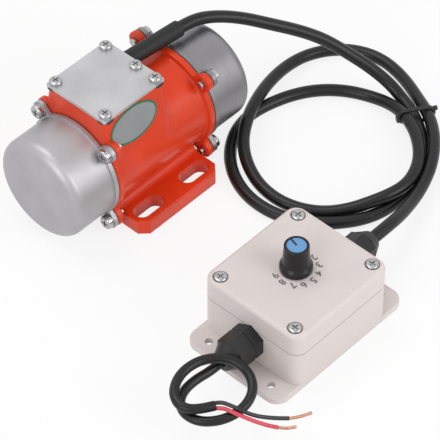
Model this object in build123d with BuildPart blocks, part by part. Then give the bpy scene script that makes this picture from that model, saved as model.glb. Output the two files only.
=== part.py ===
"""Brushless vibration motor with its speed controller, cable and supply lead.

Millimetres. The origin is the centre of the motor foot's bottom face, +X runs along the
shaft, +Z is up. The controller stands in front of the motor, on the -Y side.
"""
from build123d import *
from math import acos, atan2, cos, degrees, hypot, pi, radians, sin, sqrt, tan
import os

# Motor casting
AXIS_H = 30.0             # shaft height over the foot
HOUSING_L = 65.0          # between the two cap seats
BORE_R = 22.5
BARREL_WALL = 2.8
FLANGE_T = 3.5
FLANGE_RISE = 2.2         # the flange stands this far over the barrel
SHOULDER_R = 1.3          # fillet between barrel and flange
CAST_EDGE_R = 0.8         # outer edges of the casting
LUG_BLEND_R = 2.5         # where an ear runs into the flange
FOOT_L, FOOT_W, FOOT_T = 53.5, 73.0, 8.0
FOOT_CHAMFER = 4.2
SLOT_X, SLOT_Y = 31.0, 57.6        # spacing of the four foot slots
SLOT_L, SLOT_W = 17.5, 8.5
SADDLE_W, SADDLE_ROOT_R = 36.0, 4.0

# Terminal box on top of the barrel
BOX_L, BOX_W = 39.0, 37.0
BOX_RISE = 37.0           # top of the box over the shaft
BOX_WALL, BOX_CORNER_R = 3.0, 2.5
BOX_FLOOR_OVER_BORE = 5.0
LID_OVERHANG = 0.5
LID_T = 1.5
LID_GASKET_T = 0.5
LID_SCREW_INSET_X, LID_SCREW_INSET_Y = 3.0, 2.5
FIFTH_SCREW_Y = -3.5
LID_SCREW_BOSS_R = 4.0
LID_SCREW_L, THREAD_ROOM = 8.0, 1.0
CHAMBER_CORNER_R, LID_CORNER_R = 2.0, 1.0
WIRE_HOLE_IN, WIRE_HOLE_L, WIRE_HOLE_W = 11.5, 10.0, 4.0      # inside the left cap seat

# Screws: shank radius, head radius, head height
CAP_SCREW = (2.0, 3.5, 2.4)
LID_SCREW = (1.5, 3.1, 2.2)
CLAMP_SCREW = (2.0, 3.2, 4.0)
BOARD_SCREW = (1.2, 2.2, 1.6)
ENCLOSURE_SCREW = (1.7, 3.1, 1.9)
THREAD_GAP = 0.05
RECESS_W, RECESS_DEPTH = 0.7, 1.1
RECESS_SPAN = 1.15        # length of the cross over the head's radius
HEAD_ROUND = 0.4          # rounding of the head over its height
HEX_SOCKET = 0.5          # corner radius of the socket over the head's radius
CAP_SCREW_PITCH = 43.6    # square of the four cap screws
CAP_SCREW_TIP = 2.0       # it comes out behind the casting's ear
WASHER_T, WASHER_RIM = 0.6, 0.3
HEAD_ROOM = 0.8
LUG_R = 4.6
CAP_LUG_INSET, GASKET_INSET = 0.3, 0.2

# End caps and shields
CAP_WALL = 1.5
CAP_OVER = 1.0            # cap's radius over the barrel's
CAP_RIM = 0.9
CAP_FLANGE_T = 2.2
CAP_DEPTH = 26.2
CAP_CORNER_R = 5.0
GASKET_T = 0.5
SHIELD_RIM_INSET, SHIELD_RIM_T = 1.9, 2.5      # inside the flange's rim
SHIELD_SPIGOT_L = 3.0
SHIELD_WEB_T = 3.0
FIT = 0.05                # radial clearance of a turned seat
PRESS = 0.02              # radial clearance left at a pressed seat

# Bearings: 10 x 26 x 8
BEARING_BORE_R, BEARING_R, BEARING_W = 5.0, 13.0, 8.0
BEARING_INSET = 3.5       # bearing's middle inside the cap seat
BALL_R, BALL_PITCH_R, BALLS = 2.38, 9.0, 7
RACE_GAP = 0.05
RING_T = 2.1
CAGE_T, CAGE_W, CAGE_POCKET_GAP = 1.5, 5.6, 0.1
HUB_WALL = 3.0
HUB_LIP_T, HUB_LIP_R = 1.5, 11.4
SHIELD_SLOPE, SHIELD_DISH = 1.0, 2.5

# Stator and rotor
TEETH = 9
CORE_INSET = 17.5         # core's ends inside the cap seats
YOKE_T = 3.0
TOOTH_W = 4.0
TOOTH_TIP_T = 1.3
TOOTH_TIP_ARC = 31.0      # degrees
AIR_GAP = 0.5
FIRST_TOOTH = 90.0        # degrees, straight up
SLOT_DEPTH = 6.0          # tooth and slot, between air gap and yoke
MAGNETS, MAGNET_T, MAGNET_ARC = 6, 1.8, 54.0
COIL_T, COIL_GAP = 1.6, 0.15
COIL_END_GAP, COIL_TIP_GAP, COIL_YOKE_GAP = 0.9, 0.2, 0.6
SHAFT_CORE_R, SHAFT_END_R = 6.5, 4.5
SHAFT_OVER, SHAFT_CHAMFER = 19.5, 0.8          # shaft's ends outside the cap seats

# Eccentric weights
WEIGHT_ROOM, WEIGHT_T, WEIGHT_GAP = 3.3, 6.8, 0.3      # to the cap, along the shaft, between two
WEIGHT_OUT = 3.5          # inner face of the inner weight outside the cap seat
WEIGHT_HUB_R = 8.0
WEIGHT_TOP = 11.5
WEIGHT_SPLIT = 1.4
CLAMP_BOLT_Z, CLAMP_BOLT_TIP = 8.0, 1.0
WEIGHT_BOSS_R = 6.6       # the inner weight's boss against the bearing

# Wires inside the terminal box
PHASE_WIRE_R, PHASE_WIRE_PITCH, PHASE_WIRE_BEND = 0.9, 2.6, 2.0
PHASE_WIRE_RISE, PHASE_WIRE_DROP = 2.6, 0.4
BLOCK_L, BLOCK_W, BLOCK_H, BLOCK_GAP = 12.0, 14.0, 7.0, 1.0
BLOCK_SCREW_R, BLOCK_SCREW_DEPTH = 1.6, 2.0

# Controller
CONTROLLER_X, CONTROLLER_Y = -17.7, -123.8
CTRL_L, CTRL_W, CTRL_H = 63.0, 58.0, 35.0
CTRL_LID_H = 12.0
CTRL_CORNER_R = 6.0
CTRL_EDGE_R = 2.0
CTRL_WALL = 2.3
CTRL_LIP_H, CTRL_LIP_T, CTRL_LIP_GAP, CTRL_LIP_END = 2.0, 1.0, 0.1, 2.0
CTRL_SCREW_INSET_X, CTRL_SCREW_INSET_Y = 5.35, 6.5
CTRL_POST_R, CTRL_SCREW_GRIP, CTRL_SCREW_ROOM = 3.4, 6.0, 1.0
CTRL_RECESS_R, CTRL_RECESS_DEPTH = 3.6, 1.2
LUG_PLATE_OUT, LUG_PLATE_T, LUG_PLATE_R, CTRL_LUG_EDGE_R = 12.5, 3.0, 7.0, 0.6
LUG_HOLE_R, LUG_HOLE_OUT, LUG_HOLE_INSET = 1.9, 6.0, 10.0
SEAL_T, SEAL_W = 0.5, 1.0
BOARD_GAP_X, BOARD_GAP_Y, BOARD_T, BOARD_Z = 7.5, 12.0, 1.6, 6.0
BOARD_SCREW_INSET = 3.5
STANDOFF_R, BOARD_SCREW_GRIP = 2.6, 3.0
CAPACITOR_R, CAPACITOR_ROOM, CAPACITOR_X, CAPACITOR_PITCH = 5.0, 1.1, -8.0, 20.0
TRANSISTOR = (4.5, 8.0, 9.0)
TRANSISTOR_X, TRANSISTOR_PITCH, TRANSISTORS = 9.0, 10.5, 3
BOARD_TERMINAL = (8.0, 15.0, 9.0)
TERMINAL_INSET, TERMINAL_HOLE_R, TERMINAL_WAYS, TERMINAL_PITCH = 1.0, 1.5, 3, 4.6

# Speed knob and potentiometer, on the enclosure's centre line
KNOB_X, KNOB_Y = 0.8, 1.0
KNOB_SKIRT_R, KNOB_SKIRT_H = 7.7, 2.4
KNOB_NECK_R, KNOB_NECK_H = 6.4, 4.4
KNOB_TOP_R, KNOB_H = 5.85, 15.0
KNOB_LIFT = 0.5
KNOB_NUT_ROOM_R, KNOB_NUT_ROOM_H = 5.8, 3.2
KNOB_CROWN_T, KNOB_EDGE_R, KNOB_SKIRT_ROUND = 1.3, 0.5, 1.0
KNOB_CAP_R, KNOB_CAP_T = 4.65, 1.0
KNOB_RIM = 0.3
POINTER_W, POINTER_ANGLE, POINTER_DEPTH = 1.0, 75.0, 0.4
POT_R, POT_H, POT_BUSH_R, POT_BUSH_OVER = 8.0, 8.5, 3.5, 0.5
POT_SHAFT_IN = 6.5
POT_SHAFT_R, POT_SHAFT_GAP = 3.0, 0.05
POT_NUT_AF, POT_NUT_T = 9.2, 2.0

# Cable glands, size 7
GLAND_Y, GLAND_Z = -1.2, 16.2       # from the enclosure's centre, over its base
GLAND_AF, GLAND_FLANGE_T = 15.0, 5.0
GLAND_THREAD_R, GLAND_INSIDE = 6.0, 5.2
GLAND_NUT_L, GLAND_DOME_L = 15.0, 5.5
GLAND_DOME_R, GLAND_DOME_EDGE = 4.6, 0.9
GLAND_STUB_R, GLAND_STUB_L, GLAND_STUB_GAP = 5.6, 7.0, 0.1
LOCKNUT_AF, LOCKNUT_T = 15.0, 3.5
GLAND_SEAL_R, GLAND_SEAL_L = 4.6, 6.0
GLAND_TURN = 30.0         # degrees, a corner of the hexagon up
GLAND_EDGE_R = 0.6

# Cables
CABLE_R = 3.1
SUPPLY_R = 2.3
WIRE_R = 0.95
STRAND_R = 0.75
SLEEVE_R, SLEEVE_L = 4.2, 35.4
SLEEVE_INSET, SLEEVE_DROP, SLEEVE_YAW = 10.5, 4.8, -4.9        # from the box's side and top
SLEEVE_COLLAR_R, SLEEVE_COLLAR_T, SLEEVE_COLLAR_GAP = 4.7, 2.0, 0.3
SLEEVE_EDGE_R = 0.6
BEND_SHARE = 0.45         # how much of a run each arc of a cord may take
COIL_BOTTOM, COIL_TOP = 1.3, 10.2
TIE_T, TIE_W = 1.2, 3.0
TIE_X, TIE_Y, TIE_YAW, TIE_SPAN = 126.0, -77.0, -30.0, 21.5

TOUCH = 0.01              # two values closer than this are the same place

BARREL_R = BORE_R + BARREL_WALL
FLANGE_R = BARREL_R + FLANGE_RISE
SEAT_X = HOUSING_L / 2
BOX_TOP = AXIS_H + BOX_RISE
BOX_X = -SEAT_X + BOX_L / 2
LID_SCREW_X = BOX_L - 2 * LID_SCREW_INSET_X
LID_SCREW_Y = BOX_W - 2 * LID_SCREW_INSET_Y
SLEEVE_Y = BOX_W / 2 - SLEEVE_INSET
SLEEVE_Z = BOX_TOP - SLEEVE_DROP
WIRE_HOLE_X = -SEAT_X + WIRE_HOLE_IN
BOX_FLOOR = AXIS_H + BORE_R + BOX_FLOOR_OVER_BORE
LID_SEAT = BOX_TOP + LID_GASKET_T
CAP_SEAT_X = SEAT_X + GASKET_T
CAP_R = BARREL_R + CAP_OVER
CAP_FLANGE_R = CAP_R + CAP_RIM
CAP_END_X = CAP_SEAT_X + CAP_DEPTH
CAP_INNER_R = CAP_R - CAP_WALL
WEIGHT_R = CAP_INNER_R - WEIGHT_ROOM
WEIGHT_START = SEAT_X + WEIGHT_OUT
SHAFT_L = HOUSING_L + 2 * SHAFT_OVER
CORE_L = HOUSING_L - 2 * CORE_INSET
CAP_HEAD_X = CAP_SEAT_X + CAP_FLANGE_T
LUG_OFFSET = CAP_SCREW_PITCH / 2
TIP_R = BORE_R - YOKE_T - SLOT_DEPTH
ROTOR_R = TIP_R - AIR_GAP
ROTOR_CORE_R = ROTOR_R - MAGNET_T
SHIELD_RIM_R = FLANGE_R - SHIELD_RIM_INSET
SHIELD_INNER_X = SEAT_X - SHIELD_RIM_T - SHIELD_SPIGOT_L
BEARING_X = SEAT_X - BEARING_INSET
HUB_R = BEARING_R + HUB_WALL
BEARING_IN_X = BEARING_X - BEARING_W / 2
BEARING_OUT_X = BEARING_X + BEARING_W / 2
CTRL_BASE_H = CTRL_H - CTRL_LID_H
CTRL_SCREW_X = CTRL_L - 2 * CTRL_SCREW_INSET_X
CTRL_SCREW_Y = CTRL_W - 2 * CTRL_SCREW_INSET_Y
LUG_HOLE_X = CTRL_L + 2 * LUG_HOLE_OUT
LUG_HOLE_Y = CTRL_W - 2 * LUG_HOLE_INSET
BOARD_L = CTRL_L - 2 * BOARD_GAP_X
BOARD_W = CTRL_W - 2 * BOARD_GAP_Y
BOARD_SCREW_X = BOARD_L - 2 * BOARD_SCREW_INSET
BOARD_SCREW_Y = BOARD_W - 2 * BOARD_SCREW_INSET
GLAND_AXIS_Y = CONTROLLER_Y + GLAND_Y
GLAND_OUT = CTRL_L / 2 + GLAND_FLANGE_T + GLAND_NUT_L
INPUT_EXIT_X = CONTROLLER_X - GLAND_OUT
OUTPUT_EXIT_X = CONTROLLER_X + GLAND_OUT
KNOB_AT = (CONTROLLER_X + KNOB_X, CONTROLLER_Y + KNOB_Y)

AXIS = Plane(origin=(0, 0, AXIS_H), x_dir=(0, 1, 0), z_dir=(1, 0, 0))
CONTROLLER = Plane(origin=(CONTROLLER_X, CONTROLLER_Y, 0))

os.makedirs("parts", exist_ok=True)


def save(part, name):
    """Name a finished piece and write its file."""
    part.label = name
    export_step(part, f"parts/{name}.step")
    return part


def across_axis(x):
    """The plane square to the shaft at x, its own x along +Y and its y along +Z."""
    return AXIS.offset(x)


def from_axis(point):
    """Distance of a point from the shaft's line."""
    return hypot(point.Y, point.Z - AXIS_H)


def cap_screw_places():
    return GridLocations(CAP_SCREW_PITCH, CAP_SCREW_PITCH, 2, 2)


def lugs(radius):
    """The four ears round the cap screws, each joined to the middle by its web."""
    with cap_screw_places():
        Circle(radius)
    for turn in (45, -45):
        Rectangle(CAP_SCREW_PITCH * sqrt(2), 2 * radius, rotation=turn)


def ring_sector(inner_r, outer_r, arc):
    """Sector of a flat ring, centred on its own x axis."""
    with BuildSketch(mode=Mode.PRIVATE) as sector:
        with BuildLine():
            outside = CenterArc((0, 0), outer_r, -arc / 2, arc)
            inside = CenterArc((0, 0), inner_r, -arc / 2, arc)
            Line(outside @ 0, inside @ 0)
            Line(outside @ 1, inside @ 1)
        make_face()
    return sector.sketch


def lid_screw_points():
    """The four corner screws of the terminal lid and the fifth beside the cable."""
    half_x, half_y = LID_SCREW_X / 2, LID_SCREW_Y / 2
    corners = [(BOX_X + sx * half_x, sy * half_y) for sx in (-1, 1) for sy in (-1, 1)]
    return corners + [(BOX_X + half_x, FIFTH_SCREW_Y)]


def cross_headed_screw(seat, points, size, length):
    """Pan-head screws with a cross recess: seat is the plane under the heads."""
    shank_r, head_r, head_h = size
    with BuildPart() as screw:
        with BuildSketch(seat):
            with Locations(*points):
                Circle(head_r)
        extrude(amount=head_h)
        fillet(screw.edges().filter_by(GeomType.CIRCLE).group_by(Axis(seat.origin, seat.z_dir))[-1],
               head_h * HEAD_ROUND)
        with BuildSketch(seat.offset(head_h - RECESS_DEPTH)):
            with Locations(*points):
                Rectangle(head_r * RECESS_SPAN, RECESS_W)
                Rectangle(RECESS_W, head_r * RECESS_SPAN)
        extrude(amount=RECESS_DEPTH, mode=Mode.SUBTRACT)
        with BuildSketch(seat):
            with Locations(*points):
                Circle(shank_r)
        extrude(amount=-length)
    return screw.part


def smooth_path(name, points):
    """A cord's line of straight runs and tangent arcs, each arc as large as its runs allow."""
    corners = [Vector(*point) for point in points]
    radii = []
    for before, here, after in zip(corners, corners[1:], corners[2:]):
        run_in, run_out = here - before, after - here
        shorter = min(run_in.length, run_out.length)
        turn = radians(run_in.get_angle(run_out))
        radii.append(BEND_SHARE * shorter / tan(turn / 2))
    print(name, "radii", [round(radius, 1) for radius in radii])
    with BuildLine() as path:
        FilletPolyline(*corners, radius=radii)
    return path


def cord(name, points, radius):
    """A plain round cord along its points."""
    path = smooth_path(name, points)
    with BuildPart() as tube:
        with BuildSketch(Plane(origin=path.line @ 0, z_dir=path.line % 0)):
            Circle(radius)
        sweep(path=path.line)
    length = sum(edge.length for edge in path.edges())
    print(name, "length", round(length, 1), "volume ratio",
          round(tube.part.volume / (pi * radius ** 2 * length), 4))
    return tube.part


# Motor housing: barrel with end flanges, foot and terminal box, one casting.
# The side walls of the terminal box run down as tangents to the barrel.
wall_top_y = BOX_W / 2
wall_top_z = BOX_TOP - AXIS_H
reach = sqrt(wall_top_y ** 2 + wall_top_z ** 2)
tangent_angle = atan2(wall_top_y, wall_top_z) + acos(BARREL_R / reach)
tangent_y = BARREL_R * sin(tangent_angle)
tangent_z = BARREL_R * cos(tangent_angle)

with BuildPart() as terminal_box:
    with BuildSketch(across_axis(-SEAT_X)):
        with BuildLine():
            Polyline((-wall_top_y, wall_top_z), (wall_top_y, wall_top_z),
                     (tangent_y, tangent_z), (-tangent_y, tangent_z), (-wall_top_y, wall_top_z))
        make_face()
    extrude(amount=BOX_L)
    upright = [edge for edge in terminal_box.edges() if abs((edge % 0.5).Z) > TOUCH]
    fillet(upright, BOX_CORNER_R)

with BuildPart() as foot:
    with BuildSketch() as foot_outline:
        Rectangle(FOOT_L, FOOT_W)
        chamfer(foot_outline.vertices(), FOOT_CHAMFER)
        with GridLocations(SLOT_X, SLOT_Y, 2, 2):
            SlotOverall(SLOT_L, SLOT_W, mode=Mode.SUBTRACT)
    extrude(amount=FOOT_T)
    fillet(foot.faces().sort_by(Axis.Z)[-1].outer_wire().edges(), CAST_EDGE_R)

with BuildPart() as motor_housing:
    with BuildSketch(across_axis(-SEAT_X)):
        Circle(BARREL_R)
    extrude(amount=HOUSING_L)
    # Flanges with four ears each
    for side in (-1, 1):
        with BuildSketch(across_axis(side * SEAT_X)) as flange:
            Circle(FLANGE_R)
            lugs(LUG_R)
            on_rim = [v for v in flange.vertices() if abs(hypot(v.X, v.Y) - FLANGE_R) < TOUCH]
            fillet(on_rim, LUG_BLEND_R)
        extrude(amount=-side * FLANGE_T)
        step = motor_housing.edges().filter_by(
            lambda edge: edge.geom_type == GeomType.CIRCLE and abs(edge.radius - BARREL_R) < TOUCH
            and abs(edge.center().X - side * (SEAT_X - FLANGE_T)) < TOUCH)
        fillet(step, SHOULDER_R)
        for x in (SEAT_X, SEAT_X - FLANGE_T):
            rim = motor_housing.edges().filter_by(
                lambda edge: abs(edge.center().X - side * x) < TOUCH and abs((edge % 0.5).X) < TOUCH
                and from_axis(edge @ 0.5) > FLANGE_R - TOUCH)
            fillet(rim, CAST_EDGE_R)
    add(terminal_box.part)
    add(foot.part)
    # Saddle between barrel and foot, flared at its root
    with BuildSketch(across_axis(-FOOT_L / 2)) as saddle:
        with Locations((0, -AXIS_H / 2)):
            Rectangle(SADDLE_W, AXIS_H)
        with Locations((0, FOOT_T / 2 - AXIS_H)):
            Rectangle(SADDLE_W + 2 * (SADDLE_ROOT_R + CAST_EDGE_R), FOOT_T)
        root = [v for v in saddle.vertices() if abs(abs(v.X) - SADDLE_W / 2) < TOUCH
                and abs(v.Y + AXIS_H - FOOT_T) < TOUCH]
        fillet(root, SADDLE_ROOT_R)
    extrude(amount=FOOT_L)
    # Bore with a step at each end for the bearing shields
    with BuildSketch(across_axis(-SEAT_X)):
        Circle(BORE_R)
    extrude(amount=HOUSING_L, mode=Mode.SUBTRACT)
    for side in (-1, 1):
        with BuildSketch(across_axis(side * SEAT_X)):
            Circle(SHIELD_RIM_R + FIT)
        extrude(amount=-side * SHIELD_RIM_T, mode=Mode.SUBTRACT)
        with BuildSketch(across_axis(side * SEAT_X)):
            with cap_screw_places():
                Circle(CAP_SCREW[0] + THREAD_GAP)
        extrude(amount=-side * (FLANGE_T + CAP_SCREW_TIP), mode=Mode.SUBTRACT)
    # Terminal chamber, with bosses left in it for the lid screws
    with BuildSketch(Plane.XY.offset(BOX_TOP)):
        with Locations((BOX_X, 0)):
            RectangleRounded(BOX_L - 2 * BOX_WALL, BOX_W - 2 * BOX_WALL, CHAMBER_CORNER_R)
        with Locations(*lid_screw_points()):
            Circle(LID_SCREW_BOSS_R, mode=Mode.SUBTRACT)
    extrude(amount=BOX_FLOOR - BOX_TOP, mode=Mode.SUBTRACT)
    with BuildSketch(Plane.XY.offset(BOX_TOP)):
        with Locations(*lid_screw_points()):
            Circle(LID_SCREW[0] + THREAD_GAP)
    extrude(amount=LID_T - LID_SCREW_L - THREAD_ROOM, mode=Mode.SUBTRACT)
    with BuildSketch(Plane.XY.offset(BOX_FLOOR)):
        with Locations((WIRE_HOLE_X, 0)):
            SlotOverall(WIRE_HOLE_L, WIRE_HOLE_W, rotation=90)
    extrude(amount=-BOX_FLOOR_OVER_BORE - BARREL_WALL, mode=Mode.SUBTRACT)

# Cable sleeve: rubber strain relief out of the terminal box's end wall
wall_x = BOX_X + BOX_L / 2
sleeve_dir = Vector(cos(radians(SLEEVE_YAW)), sin(radians(SLEEVE_YAW)), 0)
sleeve_mouth = Plane(origin=(wall_x, SLEEVE_Y, SLEEVE_Z), z_dir=sleeve_dir)
with BuildPart() as cable_sleeve:
    with BuildSketch(sleeve_mouth.offset(-BOX_WALL - SLEEVE_COLLAR_T)):
        Circle(SLEEVE_R)
    extrude(amount=SLEEVE_L + BOX_WALL + SLEEVE_COLLAR_T)
    fillet(cable_sleeve.edges().group_by(Axis.X)[-1], SLEEVE_EDGE_R)
    with BuildSketch(sleeve_mouth.offset(-BOX_WALL - SLEEVE_COLLAR_T - SLEEVE_COLLAR_GAP)):
        Circle(SLEEVE_COLLAR_R)
    extrude(amount=SLEEVE_COLLAR_T)
with BuildPart(mode=Mode.PRIVATE) as sleeve_hole:
    with BuildSketch(sleeve_mouth.offset(-2 * BOX_WALL)):
        Circle(SLEEVE_R + FIT)
    extrude(amount=3 * BOX_WALL)
    with BuildSketch(sleeve_mouth.offset(-BOX_WALL - SLEEVE_COLLAR_T - SLEEVE_COLLAR_GAP)):
        Circle(SLEEVE_COLLAR_R + FIT)
    extrude(amount=SLEEVE_COLLAR_T)
with motor_housing:
    add(sleeve_hole.part, mode=Mode.SUBTRACT)
save(motor_housing.part, "motor_housing")
save(cable_sleeve.part, "cable_sleeve")

# Terminal box lid, its gasket and five screws
lid_gasket_seat = Plane.XY.offset(BOX_TOP)
with BuildPart() as terminal_lid_gasket:
    with BuildSketch(lid_gasket_seat):
        with Locations((BOX_X, 0)):
            Rectangle(BOX_L, BOX_W)
            Rectangle(BOX_L - 2 * BOX_WALL, BOX_W - 2 * BOX_WALL, mode=Mode.SUBTRACT)
        with Locations(*lid_screw_points()):
            Circle(LID_SCREW_BOSS_R)
            Circle(LID_SCREW[0] + THREAD_GAP, mode=Mode.SUBTRACT)
    extrude(amount=LID_GASKET_T)
save(terminal_lid_gasket.part, "terminal_lid_gasket")

with BuildPart() as terminal_lid:
    with BuildSketch(Plane.XY.offset(LID_SEAT)):
        with Locations((BOX_X, 0)):
            RectangleRounded(BOX_L + 2 * LID_OVERHANG, BOX_W + 2 * LID_OVERHANG,
                             LID_CORNER_R)
        with Locations(*lid_screw_points()):
            Circle(LID_SCREW[0] + THREAD_GAP, mode=Mode.SUBTRACT)
    extrude(amount=LID_T)
save(terminal_lid.part, "terminal_lid")

save(cross_headed_screw(Plane.XY.offset(LID_SEAT + LID_T), lid_screw_points(), LID_SCREW,
                        LID_SCREW_L), "terminal_lid_screws")

# Terminal block and the three phase wires that rise to it from the windings
block_x = WIRE_HOLE_X + WIRE_HOLE_W / 2 + BLOCK_GAP + BLOCK_L / 2
with BuildPart() as terminal_block:
    with BuildSketch(Plane.XY.offset(BOX_FLOOR)):
        with Locations((block_x, 0)):
            Rectangle(BLOCK_L, BLOCK_W)
    extrude(amount=BLOCK_H)
    with BuildSketch(Plane.XY.offset(BOX_FLOOR + BLOCK_H)):
        with Locations((block_x, 0)):
            with GridLocations(BLOCK_L / 2, BLOCK_W / 3, 2, 3):
                Circle(BLOCK_SCREW_R)
    extrude(amount=-BLOCK_SCREW_DEPTH, mode=Mode.SUBTRACT)
save(terminal_block.part, "terminal_block")

coil_in_r = TIP_R + TOOTH_TIP_T + COIL_TIP_GAP
coil_out_r = BORE_R - YOKE_T - COIL_YOKE_GAP
coil_end_x = CORE_L / 2 + COIL_END_GAP + COIL_T
wire_low_z = AXIS_H + coil_out_r - PHASE_WIRE_R - PHASE_WIRE_DROP
wire_high_z = BOX_FLOOR + PHASE_WIRE_RISE
with BuildPart() as phase_wires:
    for n in (-1, 0, 1):
        y = n * PHASE_WIRE_PITCH
        with BuildLine() as wire_path:
            FilletPolyline((-coil_end_x, y, wire_low_z), (WIRE_HOLE_X, y, wire_low_z),
                           (WIRE_HOLE_X, y, wire_high_z), (block_x - BLOCK_L / 2, y, wire_high_z),
                           radius=PHASE_WIRE_BEND)
        with BuildSketch(Plane(origin=wire_path.line @ 0, z_dir=wire_path.line % 0)):
            Circle(PHASE_WIRE_R)
        sweep(path=wire_path.line)
save(phase_wires.part, "phase_wires")


def end_cap():
    """Cast cup over the right weights, with four ears; the left one is its mirror."""
    with BuildPart() as cap:
        with BuildSketch(Plane.XZ.shift_origin((0, 0, AXIS_H))):
            with BuildLine():
                Polyline((CAP_SEAT_X, CAP_INNER_R), (CAP_SEAT_X, CAP_FLANGE_R),
                         (CAP_HEAD_X, CAP_FLANGE_R), (CAP_HEAD_X, CAP_R), (CAP_END_X, CAP_R),
                         (CAP_END_X, 0), (CAP_END_X - CAP_WALL, 0), (CAP_END_X - CAP_WALL, CAP_INNER_R),
                         (CAP_SEAT_X, CAP_INNER_R))
            make_face()
        revolve(axis=Axis((0, 0, AXIS_H), (1, 0, 0)))
        for x, radius in ((CAP_END_X, CAP_CORNER_R), (CAP_END_X - CAP_WALL, CAP_CORNER_R - CAP_WALL)):
            corner = cap.edges().filter_by(lambda edge: edge.geom_type == GeomType.CIRCLE
                                           and abs(edge.center().X - x) < TOUCH)
            fillet(corner, radius)
        with BuildSketch(across_axis(CAP_SEAT_X)):
            lugs(LUG_R - CAP_LUG_INSET)
            Circle(CAP_INNER_R, mode=Mode.SUBTRACT)
            with cap_screw_places():
                Circle(CAP_SCREW[0] + THREAD_GAP, mode=Mode.SUBTRACT)
        extrude(amount=CAP_FLANGE_T)
        with BuildSketch(across_axis(CAP_HEAD_X)):
            with cap_screw_places():
                Circle(CAP_SCREW[1] + HEAD_ROOM)
        extrude(amount=CAP_SCREW[2] + WASHER_T, mode=Mode.SUBTRACT)
    return cap.part


def cap_gasket():
    """Thin ring between casting and cap, with the same four ears."""
    with BuildPart() as gasket:
        with BuildSketch(across_axis(SEAT_X)):
            Circle(CAP_FLANGE_R - GASKET_INSET)
            lugs(LUG_R - CAP_LUG_INSET - GASKET_INSET)
            Circle(CAP_INNER_R, mode=Mode.SUBTRACT)
            with cap_screw_places():
                Circle(CAP_SCREW[0] + THREAD_GAP, mode=Mode.SUBTRACT)
        extrude(amount=GASKET_T)
    return gasket.part


def bearing_shield():
    """Turned disc that carries a bearing in the mouth of the barrel."""
    with BuildPart() as shield:
        with BuildSketch(Plane.XZ.shift_origin((0, 0, AXIS_H))):
            with BuildLine():
                web_x = SHIELD_INNER_X + SHIELD_WEB_T
                Polyline((SEAT_X, SHIELD_RIM_R), (SEAT_X - SHIELD_RIM_T, SHIELD_RIM_R),
                         (SEAT_X - SHIELD_RIM_T, BORE_R - FIT), (SHIELD_INNER_X, BORE_R - FIT),
                         (SHIELD_INNER_X, HUB_R), (BEARING_IN_X - HUB_LIP_T, HUB_R),
                         (BEARING_IN_X - HUB_LIP_T, HUB_LIP_R), (BEARING_IN_X, HUB_LIP_R),
                         (BEARING_IN_X, BEARING_R + PRESS), (BEARING_OUT_X, BEARING_R + PRESS),
                         (BEARING_OUT_X, HUB_R), (web_x, HUB_R + SHIELD_SLOPE),
                         (web_x, BORE_R - SHIELD_DISH), (SEAT_X, BORE_R - SHIELD_SLOPE),
                         (SEAT_X, SHIELD_RIM_R))
            make_face()
        revolve(axis=Axis((0, 0, AXIS_H), (1, 0, 0)))
    return shield.part


def bearing_outer_ring():
    with BuildPart() as ring:
        with BuildSketch(across_axis(BEARING_IN_X)):
            Circle(BEARING_R)
            Circle(BEARING_R - RING_T, mode=Mode.SUBTRACT)
        extrude(amount=BEARING_W)
        add(ball_track(), mode=Mode.SUBTRACT)
    return ring.part


def bearing_inner_ring():
    with BuildPart() as ring:
        with BuildSketch(across_axis(BEARING_IN_X)):
            Circle(BEARING_BORE_R + RING_T)
            Circle(BEARING_BORE_R, mode=Mode.SUBTRACT)
        extrude(amount=BEARING_W)
        add(ball_track(), mode=Mode.SUBTRACT)
    return ring.part


def ball_track():
    """The doughnut that the balls sweep, with its running gap."""
    with BuildPart(mode=Mode.PRIVATE) as track:
        with BuildSketch(Plane.XZ.shift_origin((0, 0, AXIS_H))):
            with Locations((BEARING_X, BALL_PITCH_R)):
                Circle(BALL_R + RACE_GAP)
        revolve(axis=Axis((0, 0, AXIS_H), (1, 0, 0)))
    return track.part


def ball_places():
    return PolarLocations(BALL_PITCH_R, BALLS)


def bearing_balls():
    with BuildPart() as balls:
        with Locations(across_axis(BEARING_X)):
            with ball_places():
                Sphere(BALL_R)
    return balls.part


def bearing_cage():
    """Moulded ring with a round pocket for each ball."""
    with BuildPart() as cage:
        with BuildSketch(across_axis(BEARING_X - CAGE_W / 2)):
            Circle(BALL_PITCH_R + CAGE_T / 2)
            Circle(BALL_PITCH_R - CAGE_T / 2, mode=Mode.SUBTRACT)
        extrude(amount=CAGE_W)
        for n in range(BALLS):
            angle = radians(n * 360 / BALLS)
            outward = Vector(0, cos(angle), sin(angle))
            middle = Vector(BEARING_X, 0, AXIS_H)
            with BuildSketch(Plane(origin=middle + outward * (BALL_PITCH_R - CAGE_T), z_dir=outward)):
                Circle(BALL_R + CAGE_POCKET_GAP)
            extrude(amount=2 * CAGE_T, mode=Mode.SUBTRACT)
    return cage.part


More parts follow.
